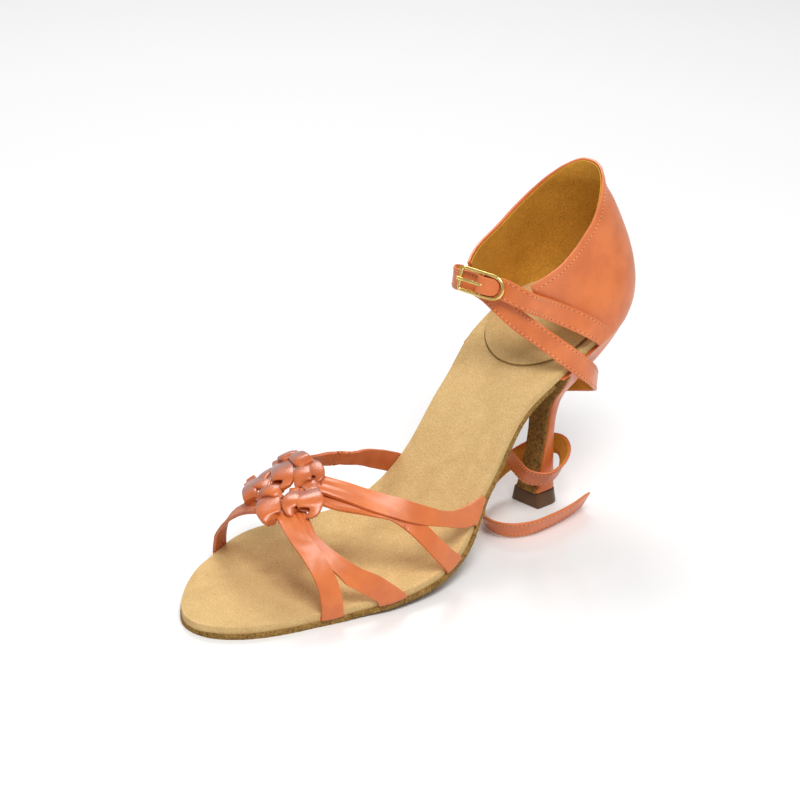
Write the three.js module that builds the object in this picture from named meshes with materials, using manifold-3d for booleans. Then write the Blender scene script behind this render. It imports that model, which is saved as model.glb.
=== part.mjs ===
// A ballroom dance shoe for the left foot, standing empty on its heel tip and forefoot.
// Millimetres, +Z up, toe towards -Y, lateral (outer) side towards +X. The origin is the middle of
// the heel tip's bottom face, on the floor.
import * as THREE from 'three';
import { mergeVertices } from 'three/addons/utils/BufferGeometryUtils.js';
import Module from 'manifold-3d';

const wasm = await Module();
wasm.setup();

// Driving dimensions
const insoleLength = 240;
const heelRise = 79.4;
const seatWidth = 55;
const waistWidth = 44.7;
const ballWidth = 80.4;
const axisX = -2;
const seatBack = 41;
const insoleThickness = 2.7;
const soleThickness = 1.8;
const soleMargin = 0.7;
const gap = 0.3;
const padThickness = 0.9;
const padLength = 60.5;
const breastPlace = 60.5;
const flapThickness = 0.9;
const flapInset = 0.5;
const tipHeight = 6;
const tipWidth = 15.8;
const tipLength = 14.4;
const columnWidth = 11.2;
const counterHeight = 57.3;
const counterWall = 1.6;
const wingReach = 26.5;
const wingCurl = 5.5;
const strapWidth = 8.5;
const strapThickness = 1.2;
const toeStrapWidth = 8;
const tuckLength = 7;
const instepHeight = 50;
const foldWidth = 7.4;
const foldThickness = 4.6;
const buckleLength = 20;
const buckleWidth = 10.4;
const buckleWire = 1.5;
const barRadius = 0.7;
const prongRadius = 0.65;
const tabWidth = 6.9;
const tabLength = 7.3;

// Smooth, never overshooting curve through rows of numbers: column 0 is the place
function follow(rows, column) {
  const places = rows.map((row) => row[0]);
  const values = rows.map((row) => row[column]);
  const steps = places.slice(1).map((place, i) => place - places[i]);
  const slopes = steps.map((step, i) => (values[i + 1] - values[i]) / step);
  const tangents = values.map((value, i) => {
    if (i === 0) return slopes[0];
    if (i === slopes.length) return slopes[i - 1];
    if (slopes[i - 1] * slopes[i] <= 0) return 0;
    const before = 2 * steps[i] + steps[i - 1];
    const after = steps[i] + 2 * steps[i - 1];
    return (before + after) / (before / slopes[i - 1] + after / slopes[i]);
  });
  return (place) => {
    const at = Math.min(Math.max(place, places[0]), places[places.length - 1]);
    let i = 0;
    while (i < steps.length - 1 && at > places[i + 1]) i += 1;
    const t = (at - places[i]) / steps[i];
    const rise = tangents[i] * steps[i];
    const run = tangents[i + 1] * steps[i];
    return values[i] * (1 + 2 * t) * (1 - t) ** 2 + rise * t * (1 - t) ** 2
      + values[i + 1] * t * t * (3 - 2 * t) + run * t * t * (t - 1);
  };
}

function range(count, from, to) {
  return Array.from({ length: count }, (_, i) => from + (to - from) * i / (count - 1));
}

const mix = (a, b, t) => a + (b - a) * t;
const vector = (x, y, z) => new THREE.Vector3(x, y, z);
const radians = THREE.MathUtils.degToRad;

// The last. The insole's top falls from the seat to the forefoot, which has a level stretch.
// Columns: place (share of insoleLength), fall (share of the mean fall)
const fallRows = [
  [0, 0.49], [0.125, 1.08], [0.25, 1.52], [0.375, 1.98], [0.5, 2.155], [0.625, 0.65],
  [0.708, 0.232], [0.79, 0.221], [0.85, 0], [0.955, 0], [1, -0.04],
];
const fallAt = follow(fallRows, 1);
const profileSteps = 480;
const profile = (() => {
  const step = insoleLength / profileSteps;
  const falls = range(profileSteps, 0.5, profileSteps - 0.5).map((i) => fallAt(i / profileSteps));
  const scale = heelRise / (falls.reduce((sum, fall) => sum + fall, 0) * step);
  const points = [[seatBack, 0]];
  for (const fall of falls) {
    const [y, z] = points[points.length - 1];
    const drop = fall * scale;
    points.push([y - step * Math.sqrt(1 - drop * drop), z - step * drop]);
  }
  const lowest = Math.min(...points.map((point) => point[1]));
  const stack = insoleThickness + gap + soleThickness;
  return points.map(([y, z]) => [y, z - lowest + stack]);
})();

// A place on the last: s along the insole, x across, h above the insole's top
function onLast(s, x, h) {
  const at = Math.min(Math.max(s / insoleLength, 0), 1) * profileSteps;
  const i = Math.min(Math.floor(at), profileSteps - 1);
  const [y0, z0] = profile[i];
  const [y1, z1] = profile[i + 1];
  const length = Math.hypot(y1 - y0, z1 - z0);
  const t = at - i;
  return vector(x, mix(y0, y1, t) + h * (z1 - z0) / length, mix(z0, z1, t) + h * (y0 - y1) / length);
}

// Height of the level h below or above the insole's top, over a place y on the floor
function levelAt(y, h) {
  let low = 0;
  let high = insoleLength;
  for (let i = 0; i < 30; i += 1) {
    const middle = (low + high) / 2;
    if (onLast(middle, 0, h).y > y) low = middle;
    else high = middle;
  }
  return onLast(low, 0, h).z;
}

// Outline of the insole. Columns: place (share of insoleLength), whole width, lateral share of it
const outlineRows = [
  [0, seatWidth, 0.467], [0.125, seatWidth, 0.467], [0.208, 0.98 * seatWidth, 0.478],
  [0.333, waistWidth, 0.523], [0.458, 1.04 * waistWidth, 0.606], [0.583, 0.784 * ballWidth, 0.578],
  [0.667, 0.945 * ballWidth, 0.513], [0.729, ballWidth, 0.465], [0.792, 0.923 * ballWidth, 0.435],
  [0.854, 0.789 * ballWidth, 0.435], [1, 0.552 * ballWidth, 0.505],
];
const widthAt = follow(outlineRows, 1);
const lateralAt = follow(outlineRows, 2);
const heelRound = 0.125;
const toeRound = 0.146;

// Edge of the insole at s, on the side +1 (lateral) or -1 (medial), with its round ends
function edgeX(s, side) {
  const place = Math.min(Math.max(s / insoleLength, 0), 1);
  const into = Math.max((heelRound - place) / heelRound, (place - 1 + toeRound) / toeRound, 0);
  const lateral = lateralAt(place);
  return axisX + side * widthAt(place) * (side > 0 ? lateral : 1 - lateral) * Math.sqrt(1 - into * into);
}

// Places along the insole between two stations, closer together round the ends
function stations(from, to) {
  const heelArc = range(6, 12, 75).map((turn) => heelRound * (1 - Math.cos(radians(turn))));
  const toeArc = range(7, 70, 8).map((turn) => 1 - toeRound * (1 - Math.cos(radians(turn))));
  const middle = [0.125, 0.17, 0.215, 0.26, ...range(17, 0.3, 0.7), 0.76, 0.81, 0.853];
  return [...heelArc, ...middle, ...toeArc].map((place) => place * insoleLength)
    .filter((s) => s > from && s < to);
}

// A closed sheet from rows of points: each row has as many points on top as under it
function sheet(rows) {
  const positions = [];
  const index = [];
  const loops = rows.map(({ top, under }) => [...top, ...under.slice().reverse()]);
  const size = loops[0].length;
  loops.flat().forEach((point) => positions.push(point.x, point.y, point.z));
  for (let i = 0; i < loops.length - 1; i += 1) {
    for (let j = 0; j < size; j += 1) {
      const a = i * size + j;
      const b = i * size + (j + 1) % size;
      index.push(a, b, b + size, a, b + size, a + size);
    }
  }
  const last = (loops.length - 1) * size;
  for (let j = 0; j < size / 2 - 1; j += 1) {
    const across = size - 1 - j;
    index.push(j, across, across - 1, j, across - 1, j + 1);
    index.push(last + j, last + across - 1, last + across, last + j, last + j + 1, last + across - 1);
  }
  return facingOut(positions, index);
}

// A closed loft through round loops of points, the ends filled to their middles, or joined in a ring
function loft(loops, ring = false) {
  const positions = [];
  const index = [];
  const size = loops[0].length;
  loops.flat().forEach((point) => positions.push(point.x, point.y, point.z));
  const spans = ring ? loops.length : loops.length - 1;
  for (let i = 0; i < spans; i += 1) {
    for (let j = 0; j < size; j += 1) {
      const a = i * size + j;
      const b = i * size + (j + 1) % size;
      const c = ((i + 1) % loops.length) * size + j;
      const d = ((i + 1) % loops.length) * size + (j + 1) % size;
      index.push(a, b, d, a, d, c);
    }
  }
  if (!ring) {
    for (const [i, turned] of [[0, false], [loops.length - 1, true]]) {
      const middle = loops[i].reduce((sum, point) => sum.add(point), vector(0, 0, 0)).divideScalar(size);
      positions.push(middle.x, middle.y, middle.z);
      const centre = positions.length / 3 - 1;
      for (let j = 0; j < size; j += 1) {
        const a = i * size + j;
        const b = i * size + (j + 1) % size;
        index.push(...(turned ? [a, b, centre] : [b, a, centre]));
      }
    }
  }
  return facingOut(positions, index);
}

// A geometry whose faces point out: all are turned round when the volume comes out negative
function facingOut(positions, index) {
  const at = (i) => vector(positions[3 * i], positions[3 * i + 1], positions[3 * i + 2]);
  let volume = 0;
  for (let i = 0; i < index.length; i += 3) {
    volume += at(index[i]).dot(at(index[i + 1]).cross(at(index[i + 2])));
  }
  const turned = volume < 0 ? index.slice().reverse() : index;
  const geometry = new THREE.BufferGeometry();
  geometry.setAttribute('position', new THREE.Float32BufferAttribute(positions, 3));
  geometry.setIndex(turned);
  return geometry;
}

// Solids for joining and cutting
function solid(geometry) {
  const plain = geometry.clone();
  plain.deleteAttribute('normal');
  plain.deleteAttribute('uv');
  const merged = mergeVertices(plain, 1e-4);
  return new wasm.Manifold(new wasm.Mesh({
    numProp: 3,
    vertProperties: new Float32Array(merged.attributes.position.array),
    triVerts: new Uint32Array(merged.index.array),
  }));
}

function geometryOf(manifold) {
  const mesh = manifold.getMesh();
  const geometry = new THREE.BufferGeometry();
  geometry.setAttribute('position', new THREE.BufferAttribute(new Float32Array(mesh.vertProperties), 3));
  geometry.setIndex(new THREE.BufferAttribute(new Uint32Array(mesh.triVerts), 1));
  return geometry;
}

const joined = (geometries) => geometries.map(solid).reduce((sum, next) => sum.add(next));

// A row of a sheet between two levels of the last, its edges drawn in to a round
function lastRow(s, left, right, topLevel, underLevel, round) {
  const middle = (topLevel + underLevel) / 2;
  const half = (topLevel - underLevel) / 2;
  const inset = Math.min(round, (right - left) / 4);
  const across = [
    [left, 0.35], [left + inset, 1], [mix(left, right, 0.5), 1], [right - inset, 1], [right, 0.35],
  ];
  return {
    top: across.map(([x, share]) => onLast(s, x, middle + half * share)),
    under: across.map(([x, share]) => onLast(s, x, middle - half * share)),
  };
}

const insoleUnder = -insoleThickness;
const soleTop = insoleUnder - gap;
const soleUnder = soleTop - soleThickness;

function insoleSheet() {
  const edgeRound = 1.1;
  return sheet(stations(0, insoleLength).map((s) => (
    lastRow(s, edgeX(s, -1), edgeX(s, 1), 0, insoleUnder, edgeRound))));
}

// The outsole stands a little proud of the insole and stops at the heel breast
function outsoleSheet() {
  const edgeRound = 0.5;
  const places = [breastPlace, ...stations(breastPlace + 4, insoleLength)];
  return sheet(places.map((s) => {
    const fromBreast = (s - breastPlace) / (0.3 * insoleLength);
    const margin = soleMargin * Math.min(1, fromBreast, (insoleLength - s) / 2);
    return lastRow(s, edgeX(s, -1) - margin, edgeX(s, 1) + margin, soleTop, soleUnder, edgeRound);
  }));
}

// Thin sock pad on the seat, with a round front
function heelPad() {
  const padInset = 3.2;
  const frontRound = 0.4 * seatWidth;
  const backRound = 0.473 * seatWidth;
  const places = [
    ...range(7, 10, 84).map((turn) => padInset + backRound * (1 - Math.cos(radians(turn)))),
    ...range(4, padInset + 1.1 * backRound, padLength - frontRound),
    ...range(6, 20, 84).map((turn) => padLength - frontRound * (1 - Math.sin(radians(turn)))),
  ];
  return sheet(places.map((s) => {
    const into = Math.max((s - padLength + frontRound) / frontRound, 0);
    const share = Math.sqrt(1 - into * into);
    const middle = (edgeX(s, 1) + edgeX(s, -1)) / 2;
    const half = (edgeX(s, 1) - edgeX(s, -1)) / 2 - padInset;
    return lastRow(s, middle - half * share, middle + half * share, gap + padThickness, gap, 0.8);
  }));
}

// Loop of the heel's D shape: straight breast and sides, round back
function heelLoop(middle, half, front, back, depth, height) {
  const corner = Math.min(1, half / 6);
  const sideTo = back - depth;
  const right = [[half - corner, front], [half, front + corner], [half, mix(front + corner, sideTo, 0.55)]];
  const arc = range(9, 0, 180).map(radians)
    .map((turn) => [half * Math.cos(turn), sideTo + depth * Math.sin(turn)]);
  const left = right.slice().reverse().map(([x, y]) => [-x, y]);
  return [...right, ...arc, ...left].map(([x, y]) => vector(middle + x, y, height(y)));
}

// The heel from its tip to the seat. Columns: share of the way up, half width (share of seatWidth, or
// of columnWidth below the flare), breast, back and depth of the round back (shares of seatBack)
const heelTop = counterWall;
const heelRows = [
  [0, 0.52 * columnWidth, -0.161, 0.15, 0.14], [0.1, 0.5 * columnWidth, -0.12, 0.146, 0.133],
  [0.3, 0.478 * columnWidth, -0.041, 0.145, 0.125], [0.434, 0.49 * columnWidth, 0.005, 0.172, 0.135],
  [0.56, 0.575 * columnWidth, 0.027, 0.243, 0.17], [0.62, 0.715 * columnWidth, 0.03, 0.305, 0.204],
  [0.71, 0.227 * seatWidth, 0.007, 0.42, 0.268], [0.8, 0.314 * seatWidth, -0.02, 0.578, 0.341],
  [0.87, 0.391 * seatWidth, -0.049, 0.77, 0.463], [0.93, 0.452 * seatWidth, -0.1, 0.94, 0.6],
  [1, 0.5 * seatWidth + heelTop, -0.27, 1 + heelTop / seatBack, 0.74],
];
const seatMiddle = (edgeX(0.15 * insoleLength, 1) + edgeX(0.15 * insoleLength, -1)) / 2;
// Columns: share of the way up, middle of the heel across (share of columnWidth, of seatWidth on top)
const heelMiddleRows = [
  [0, 0.16 * columnWidth], [0.3, 0.15 * columnWidth], [0.45, 0.11 * columnWidth], [0.6, 0.056 * columnWidth],
  [0.75, 0.02 * columnWidth], [1, seatMiddle],
];
const heelMiddleAt = follow(heelMiddleRows, 1);
const [heelHalfAt, heelFrontAt, heelBackAt, heelDepthAt] = [1, 2, 3, 4]
  .map((column) => follow(heelRows, column));

function heelRing(up, base) {
  const height = (y) => mix(base, levelAt(y, soleTop), up);
  const [front, back, depth] = [heelFrontAt, heelBackAt, heelDepthAt].map((at) => seatBack * at(up));
  return heelLoop(heelMiddleAt(up), heelHalfAt(up), front, back, depth, height);
}

const heelLevels = [
  0, 0.07, 0.15, 0.25, 0.35, 0.44, 0.52, 0.59, 0.65, 0.71, 0.77, 0.82, 0.87, 0.92, 0.96, 1,
];

function heelColumn() {
  return loft(heelLevels.map((up) => heelRing(up, tipHeight + gap)));
}

function heelTip() {
  const bevel = 0.4;
  const draft = 0.8;
  const half = tipWidth / 2;
  const middle = 0.071 * columnWidth;
  const back = tipLength / 2;
  const ring = (inset, z) => (
    heelLoop(middle, half - inset, inset - back, back - inset, 0.46 * tipLength - inset, () => z));
  return loft([
    ring(bevel, 0), ring(0, bevel), ring(draft - bevel / 2, tipHeight - bevel), ring(draft, tipHeight),
  ]);
}

// Suede flap down the front of the heel, from the end of the outsole to the heel tip
function breastCover() {
  const line = heelLevels.map((up) => {
    const y = seatBack * heelFrontAt(up);
    return vector(0, y, mix(tipHeight + gap, levelAt(y, soleTop), up));
  });
  return sheet(heelLevels.map((up, i) => {
    const along = line[Math.min(i + 1, line.length - 1)].clone().sub(line[Math.max(i - 1, 0)]).normalize();
    const out = vector(0, -along.z, along.y);
    const half = heelHalfAt(up) - flapInset;
    const across = [[-1, 0.5], [-0.9, 1], [0.9, 1], [1, 0.5]];
    const place = ([share], away) => (
      line[i].clone().setX(heelMiddleAt(up) + half * share).addScaledVector(out, away));
    return {
      top: across.map((row) => place(row, gap)),
      under: across.map((row) => place(row, gap + flapThickness * row[1])),
    };
  }).slice(0, -1));
}

// The counter: a wall that rises from the seat's edge, round at the back, its wings running forward.
// Columns: share of counterHeight, back (share of seatBack), half width (share of seatWidth),
// depth of the round back (share of seatBack)
const wallRows = [
  [0, 1.053, 0.524, 0.776], [0.09, 1.106, 0.522, 0.754], [0.18, 1.118, 0.514, 0.739],
  [0.3, 1.101, 0.497, 0.727], [0.44, 1.056, 0.462, 0.72], [0.57, 0.984, 0.431, 0.718],
  [0.73, 0.872, 0.401, 0.713], [0.85, 0.765, 0.382, 0.736], [1, 0.703, 0.373, 0.768],
];
const [wallBackAt, wallHalfAt, wallDepthAt] = [1, 2, 3].map((column) => follow(wallRows, column));
const roundShare = 0.6;
// Columns: share of the way from the back to the wing's end, height of the topline above the seat
// on the lateral side and how much lower it is on the medial side (shares of counterHeight)
const toplineRows = [
  [0, 0.984, 0], [0.05, 0.984, 0.002], [0.1, 0.976, 0.008], [0.2, 0.943, 0.028], [0.3, 0.881, 0.042],
  [0.4, 0.797, 0.046], [0.5, 0.71, 0.046], [0.6, 0.624, 0.042], [0.7, 0.545, 0.032], [0.8, 0.474, 0.019],
  [0.9, 0.407, 0], [1, 0.336, -0.023],
];
const [toplineAt, medialDropAt] = [1, 2].map((column) => follow(toplineRows, column));
// Lower edge of the wing in front of the seat, under its strap. Same columns
const wingUnderRows = [[0.68, -0.12], [0.76, -0.072], [0.83, -0.015], [0.9, 0.045], [1, 0.145]];
const wingUnderAt = follow(wingUnderRows, 1);
const seatHeight = levelAt(seatBack, insoleUnder);

// Turn round the back (90 at the back, 0 on the sides) and run forward of a place t on the wall
const turnAt = (t) => radians(90 * Math.max(0, 1 - t / roundShare));
const forwardAt = (t) => wingReach * Math.max(0, (t - roundShare) / (1 - roundShare));
const curlAt = (t) => wingCurl * Math.max(0, forwardAt(t) / wingReach - 0.43) ** 2 / 0.57 ** 2;
const wallBaseY = (t) => (
  seatBack * (wallBackAt(0) - wallDepthAt(0) + wallDepthAt(0) * Math.sin(turnAt(t))) - forwardAt(t));

// A place on the wall: t from the back (0) to the wing's end (1), on one side, at the height z
function onWall(t, side, z) {
  const up = (z - levelAt(wallBaseY(t), insoleUnder)) / counterHeight;
  const depth = seatBack * wallDepthAt(up);
  const middle = mix(seatMiddle, axisX, up);
  return vector(middle + side * (seatWidth * wallHalfAt(up) * Math.cos(turnAt(t)) - curlAt(t)),
    seatBack * wallBackAt(up) - depth + depth * Math.sin(turnAt(t)) - forwardAt(t), z);
}

function wallNormal(t, side, z) {
  const step = 0.4;
  const along = onWall(Math.max(t, 0.002) + 0.004, side, z).sub(onWall(Math.max(t, 0.002) - 0.002, side, z));
  const up = onWall(t, side, z + step).sub(onWall(t, side, z - step));
  return along.cross(up).multiplyScalar(-side).normalize();
}

// Lower and upper edge of the wall at t: on the seat, then rising under the strap on the wing
function wallBetween(t, side) {
  const feather = levelAt(wallBaseY(t), insoleUnder);
  const onWing = Math.min(1, Math.max(0, (t - 0.64) / 0.08));
  const under = mix(feather, seatHeight + counterHeight * wingUnderAt(t), onWing);
  const drop = side < 0 ? medialDropAt(t) : 0;
  return [under, seatHeight + counterHeight * (toplineAt(t) - drop)];
}

function counterShell() {
  const places = [1, 0.94, 0.88, 0.82, 0.76, 0.7, 0.65, 0.58, 0.5, 0.41, 0.32, 0.23, 0.14, 0.06];
  const levels = [0, 0.06, 0.15, 0.28, 0.42, 0.58, 0.74, 0.88, 0.97, 1];
  const columns = [...places.map((t) => [t, 1]), [0, 1], ...places.slice().reverse().map((t) => [t, -1])];
  return sheet(columns.map(([t, side]) => {
    const [under, top] = wallBetween(t, side);
    const points = levels.map((level) => {
      const z = mix(under, top, level);
      const half = counterWall / 2 * (level === 0 || level === 1 ? 0.55 : 1);
      return { at: onWall(t, side, z), normal: wallNormal(t, side, z).multiplyScalar(half) };
    });
    return {
      top: points.map(({ at, normal }) => at.clone().add(normal)),
      under: points.map(({ at, normal }) => at.clone().sub(normal)),
    };
  }));
}

// A flat strap along a curve: points and facings are matched lists of vectors
function ribbon(points, facings, width, thickness, count) {
  const path = new THREE.CatmullRomCurve3(points, false, 'centripetal');
  const facingPath = new THREE.CatmullRomCurve3(facings, false, 'centripetal');
  const rows = range(count, 0, 1).map((u) => {
    const along = path.getTangent(u);
    const side = along.clone().cross(facingPath.getPoint(u)).normalize();
    const facing = side.clone().cross(along).normalize();
    return crossSection(path.getPoint(u), side, facing, width, thickness);
  });
  return sheet(rows);
}

function crossSection(at, side, facing, width, thickness) {
  const bevel = 0.4;
  const across = [[-width / 2, 0.5], [-width / 2 + bevel, 1], [width / 2 - bevel, 1], [width / 2, 0.5]];
  const place = ([x, share], up) => at.clone().addScaledVector(side, x)
    .addScaledVector(facing, up * share * thickness / 2);
  return { top: across.map((row) => place(row, 1)), under: across.map((row) => place(row, -1)) };
}

// The form of the empty foot room in front, an arch over the insole that the toe straps lie on.
// Columns: place (share of insoleLength), height of the arch (share of instepHeight)
const archRows = [
  [0.25, 1.5], [0.458, 1.1], [0.542, 1], [0.604, 0.9], [0.667, 0.8], [0.729, 0.72], [0.792, 0.64],
  [0.854, 0.56], [1, 0.4],
];
const archAt = follow(archRows, 1);

// A place on the arch: s along the insole, turn from the lateral edge (0) to the medial edge (180)
function onArch(s, turn, lift = 0) {
  const angle = radians(turn);
  const stand = 1 + lift;
  const lateral = edgeX(s, 1);
  const medial = edgeX(s, -1);
  const x = (lateral + medial) / 2 + ((lateral - medial) / 2 + stand) * Math.cos(angle);
  return onLast(s, x, (instepHeight * archAt(s / insoleLength) + lift) * Math.sin(angle));
}

function archNormal(s, turn) {
  const step = 1;
  const along = onArch(s - step, turn).sub(onArch(s + step, turn));
  const round = onArch(s, turn + step).sub(onArch(s, turn - step));
  return along.cross(round).multiplyScalar(-1).normalize();
}

// A toe strap from the knots to the insole's edge, where it turns down and tucks under.
// Columns of its rows: turn round the arch, place of its middle (share of insoleLength), lift, width
// (share of toeStrapWidth)
function toeStrap(rows, grow) {
  const side = rows[rows.length - 1][0] < 90 ? 1 : -1;
  const widthShareAt = follow(rows.map((row, i) => [i / (rows.length - 1), row[3]]), 1);
  const path = new THREE.CatmullRomCurve3(rows.map(([turn, place, lift]) => (
    vector(turn, place * insoleLength, lift))), false, 'centripetal');
  const wide = (u) => toeStrapWidth / 2 * widthShareAt(u) + grow;
  const thickness = strapThickness / 2 + grow;
  const bevel = 0.4;
  const acrossOf = (half) => [[-half, 0.5], [-half + bevel, 1], [half - bevel, 1], [half, 0.5]];
  const onPath = (u) => {
    const { x: turn, y: s, z: lift } = path.getPoint(Math.min(Math.max(u, 0), 1));
    return onArch(s, turn, lift);
  };
  // Square to its run by the knots, and laid along the insole's edge by its end
  const upper = range(grow ? 3 : 12, grow ? 0.9 : 0, 1).map((u) => {
    const { x: turn, y: s, z: lift } = path.getPoint(u);
    const along = onPath(u + 0.01).sub(onPath(u - 0.01)).normalize();
    const edge = onArch(s + 0.5, turn).sub(onArch(s - 0.5, turn)).normalize();
    const normal = archNormal(s, turn);
    const side = along.clone().cross(normal).normalize();
    if (side.dot(edge) < 0) side.negate();
    const spread = 1 / Math.max(0.45, Math.sqrt(1 - along.dot(edge) ** 2));
    const laying = Math.min(1, Math.max(0, (u - 0.5) / 0.3));
    const place = ([ds, share], up) => {
      const flat = onPath(u).addScaledVector(side, ds).addScaledVector(normal, up * share * thickness);
      const laid = onArch(s + ds * spread, turn, lift)
        .addScaledVector(archNormal(s + ds * spread, turn), up * share * thickness);
      return flat.lerp(laid, laying);
    };
    const across = acrossOf(wide(u));
    return { top: across.map((row) => place(row, 1)), under: across.map((row) => place(row, -1)) };
  });
  const { x: lastTurn, y: end } = path.getPoint(1);
  const slant = (end - path.getPoint(0.93).y) / 3;
  const level = insoleUnder + strapThickness / 2;
  const stand = 1;
  // Columns: place outside the edge, level, share of the slant, direction of the strap's outer face
  const tuckRows = [
    [stand, -1, 0.3, 0], [stand - 0.25, level + 0.25, 0.5, 45], [stand - 0.9, level, 0.8, 90],
    [-tuckLength - grow, level, 3.5, 90],
  ];
  const lastRun = onPath(1).sub(onPath(0.98)).normalize();
  const lastEdge = onArch(end + 0.5, lastTurn).sub(onArch(end - 0.5, lastTurn)).normalize();
  const lastSpread = 1 / Math.max(0.45, Math.sqrt(1 - lastRun.dot(lastEdge) ** 2));
  const tuck = tuckRows.map(([out, h, share, face]) => {
    const across = acrossOf(wide(1) * lastSpread);
    const angle = radians(face);
    const place = ([ds, thin], up) => {
      const s = end + ds + slant * share;
      const push = up * thin * thickness;
      const x = edgeX(s, side) + side * (out + push * Math.cos(angle));
      return onLast(s, x, h - push * Math.sin(angle));
    };
    return { top: across.map((row) => place(row, 1)), under: across.map((row) => place(row, -1)) };
  });
  return sheet([...upper, ...tuck]);
}

const toeStraps = {
  frontLateral: [
    [86, 0.81, 0.4, 0.8], [75, 0.82, 0.4, 0.84], [60, 0.83, 0.3, 0.88], [48, 0.83, 0.3, 0.92],
    [37, 0.828, 0.1, 0.96], [20, 0.825, 0, 1], [0, 0.826, 0, 1],
  ],
  secondLateral: [
    [78, 0.785, -0.6, 0.5], [67, 0.798, -0.8, 0.5], [55, 0.809, -0.8, 0.56], [44, 0.807, -0.7, 0.68],
    [33, 0.798, -0.3, 0.8], [22, 0.783, 0, 0.92], [13, 0.763, 0, 1], [0, 0.732, 0, 1],
  ],
  thirdLateral: [
    [80, 0.753, -0.8, 0.95], [66, 0.735, -0.8, 1], [55, 0.706, -0.8, 1], [44, 0.672, -0.8, 1],
    [35, 0.657, -0.6, 1], [28, 0.649, -0.2, 1], [15, 0.63, 0, 1], [0, 0.604, 0, 1],
  ],
  backLateral: [
    [94, 0.744, 1, 0.95], [80, 0.737, 1, 1], [66, 0.719, 0.8, 1], [55, 0.699, 0.7, 1], [42, 0.661, 0.6, 1],
    [31, 0.622, 0.3, 1], [17, 0.563, 0, 1], [5, 0.522, 0, 1], [0, 0.504, 0, 1],
  ],
  frontMedial: [
    [94, 0.822, 0, 0.85], [108, 0.825, -1, 0.95], [128, 0.824, -2.4, 1], [148, 0.817, -2.4, 1],
    [166, 0.811, -0.8, 1], [180, 0.81, 0, 1],
  ],
  backMedial: [
    [112, 0.71, 1, 0.8], [124, 0.684, 0.2, 0.9], [136, 0.65, 0, 1], [145, 0.6, 0, 1],
    [152, 0.554, 0, 1], [161, 0.518, 0, 1], [171, 0.5, 0, 1], [180, 0.487, 0, 1],
  ],
};

// The knots lie in a ring on top of the arch. Each is made of one or more folds of the strap that
// is drawn round its neighbour. Columns: place (share of insoleLength), turn round the arch, lift,
// width (share of foldWidth)
const knotFolds = {
  topLeft: [[0.721, 128, 3, 0.6], [0.714, 124, 4, 0.95], [0.712, 117, 4, 0.95], [0.722, 110, 2, 0.6]],
  topRight: [[0.705, 120, 3.4, 0.6], [0.71, 112, 3.8, 0.95], [0.718, 105, 3.2, 0.95], [0.724, 99, 1.4, 0.6]],
  topBand: [[0.716, 118, 1.8, 0.8], [0.748, 105, 3, 1], [0.765, 97, 2.6, 1], [0.773, 93, 0.4, 0.7]],
  leftStrap: [
    [0.721, 124, 0.8, 0.8], [0.75, 118, 1.2, 0.85], [0.768, 116, 1.2, 0.85], [0.774, 118, 0.6, 0.7],
  ],
  leftFold: [[0.779, 104, 1, 0.5], [0.789, 107, 2.2, 0.75], [0.79, 115, 2.4, 0.75], [0.795, 120, 1, 0.5]],
  leftSide: [[0.78, 121, 1.2, 0.6], [0.805, 113, 1.8, 0.85], [0.822, 107, 0.6, 0.6]],
  frontLeaf: [[0.824, 97, 1, 0.35], [0.809, 97, 2.6, 0.75], [0.799, 93, 3.2, 0.75], [0.793, 87, 1, 0.35]],
  frontBody: [[0.804, 94, 1.2, 0.8], [0.826, 86, 2.2, 1], [0.838, 80, 1.8, 0.95], [0.843, 77, 0.2, 0.5]],
  secondLeft: [[0.766, 84, 0.8, 0.5], [0.788, 81, 2.2, 0.85], [0.799, 77, 2.2, 0.85], [0.797, 70, 0.6, 0.4]],
  secondRight: [[0.76, 81, 1.2, 0.8], [0.77, 74, 3.2, 1.1], [0.777, 68, 3.2, 1.1], [0.787, 66, 1, 0.7]],
  rightInner: [
    [0.722, 100, 1.2, 0.55], [0.743, 92, 2.6, 0.8], [0.753, 87, 2.2, 0.75], [0.759, 84, 0.6, 0.5],
  ],
  rightOuter: [[0.712, 98, 1.2, 0.55], [0.725, 90, 2.6, 0.8], [0.736, 84, 2.4, 0.75], [0.747, 82, 0.8, 0.5]],
  rightStrap: [[0.74, 84, 0.4, 0.6], [0.75, 81, 0.8, 0.6], [0.76, 78, 0.4, 0.6]],
};

// One fold, a puffed band with drawn-in ends. Section: share of half its width, share of its height
const foldSection = [
  [0.98, -0.12], [0.86, 0.5], [0.45, 0.9], [-0.1, 1], [-0.62, 0.82], [-0.94, 0.3], [-0.9, -0.28],
  [0, -0.5], [0.8, -0.45],
];

function knotFold(rows) {
  const path = new THREE.CatmullRomCurve3(rows.map(([place, turn, lift]) => (
    onArch(place * insoleLength, turn, lift))), false, 'centripetal');
  const shares = range(rows.length, 0, 1);
  const widthAt = follow(rows.map((row, i) => [shares[i], row[3]]), 1);
  const facings = rows.map(([place, turn]) => archNormal(place * insoleLength, turn));
  const facingPath = new THREE.CatmullRomCurve3(facings, false, 'centripetal');
  return loft(range(6, 0, 1).map((u) => {
    const along = path.getTangent(u);
    const side = along.clone().cross(facingPath.getPoint(u)).normalize();
    const facing = side.clone().cross(along).normalize();
    const half = foldWidth / 2 * widthAt(u);
    const high = foldThickness / 2 * (0.55 + 0.45 * Math.sin(Math.PI * mix(0.08, 0.92, u)));
    return foldSection.map(([x, out]) => path.getPoint(u).addScaledVector(side, half * x)
      .addScaledVector(facing, high * out));
  }));
}

function toeUpper() {
  const straps = Object.values(toeStraps).map((rows) => toeStrap(rows, 0));
  const knots = Object.values(knotFolds).map(knotFold);
  return joined([...straps, ...knots]);
}

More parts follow.
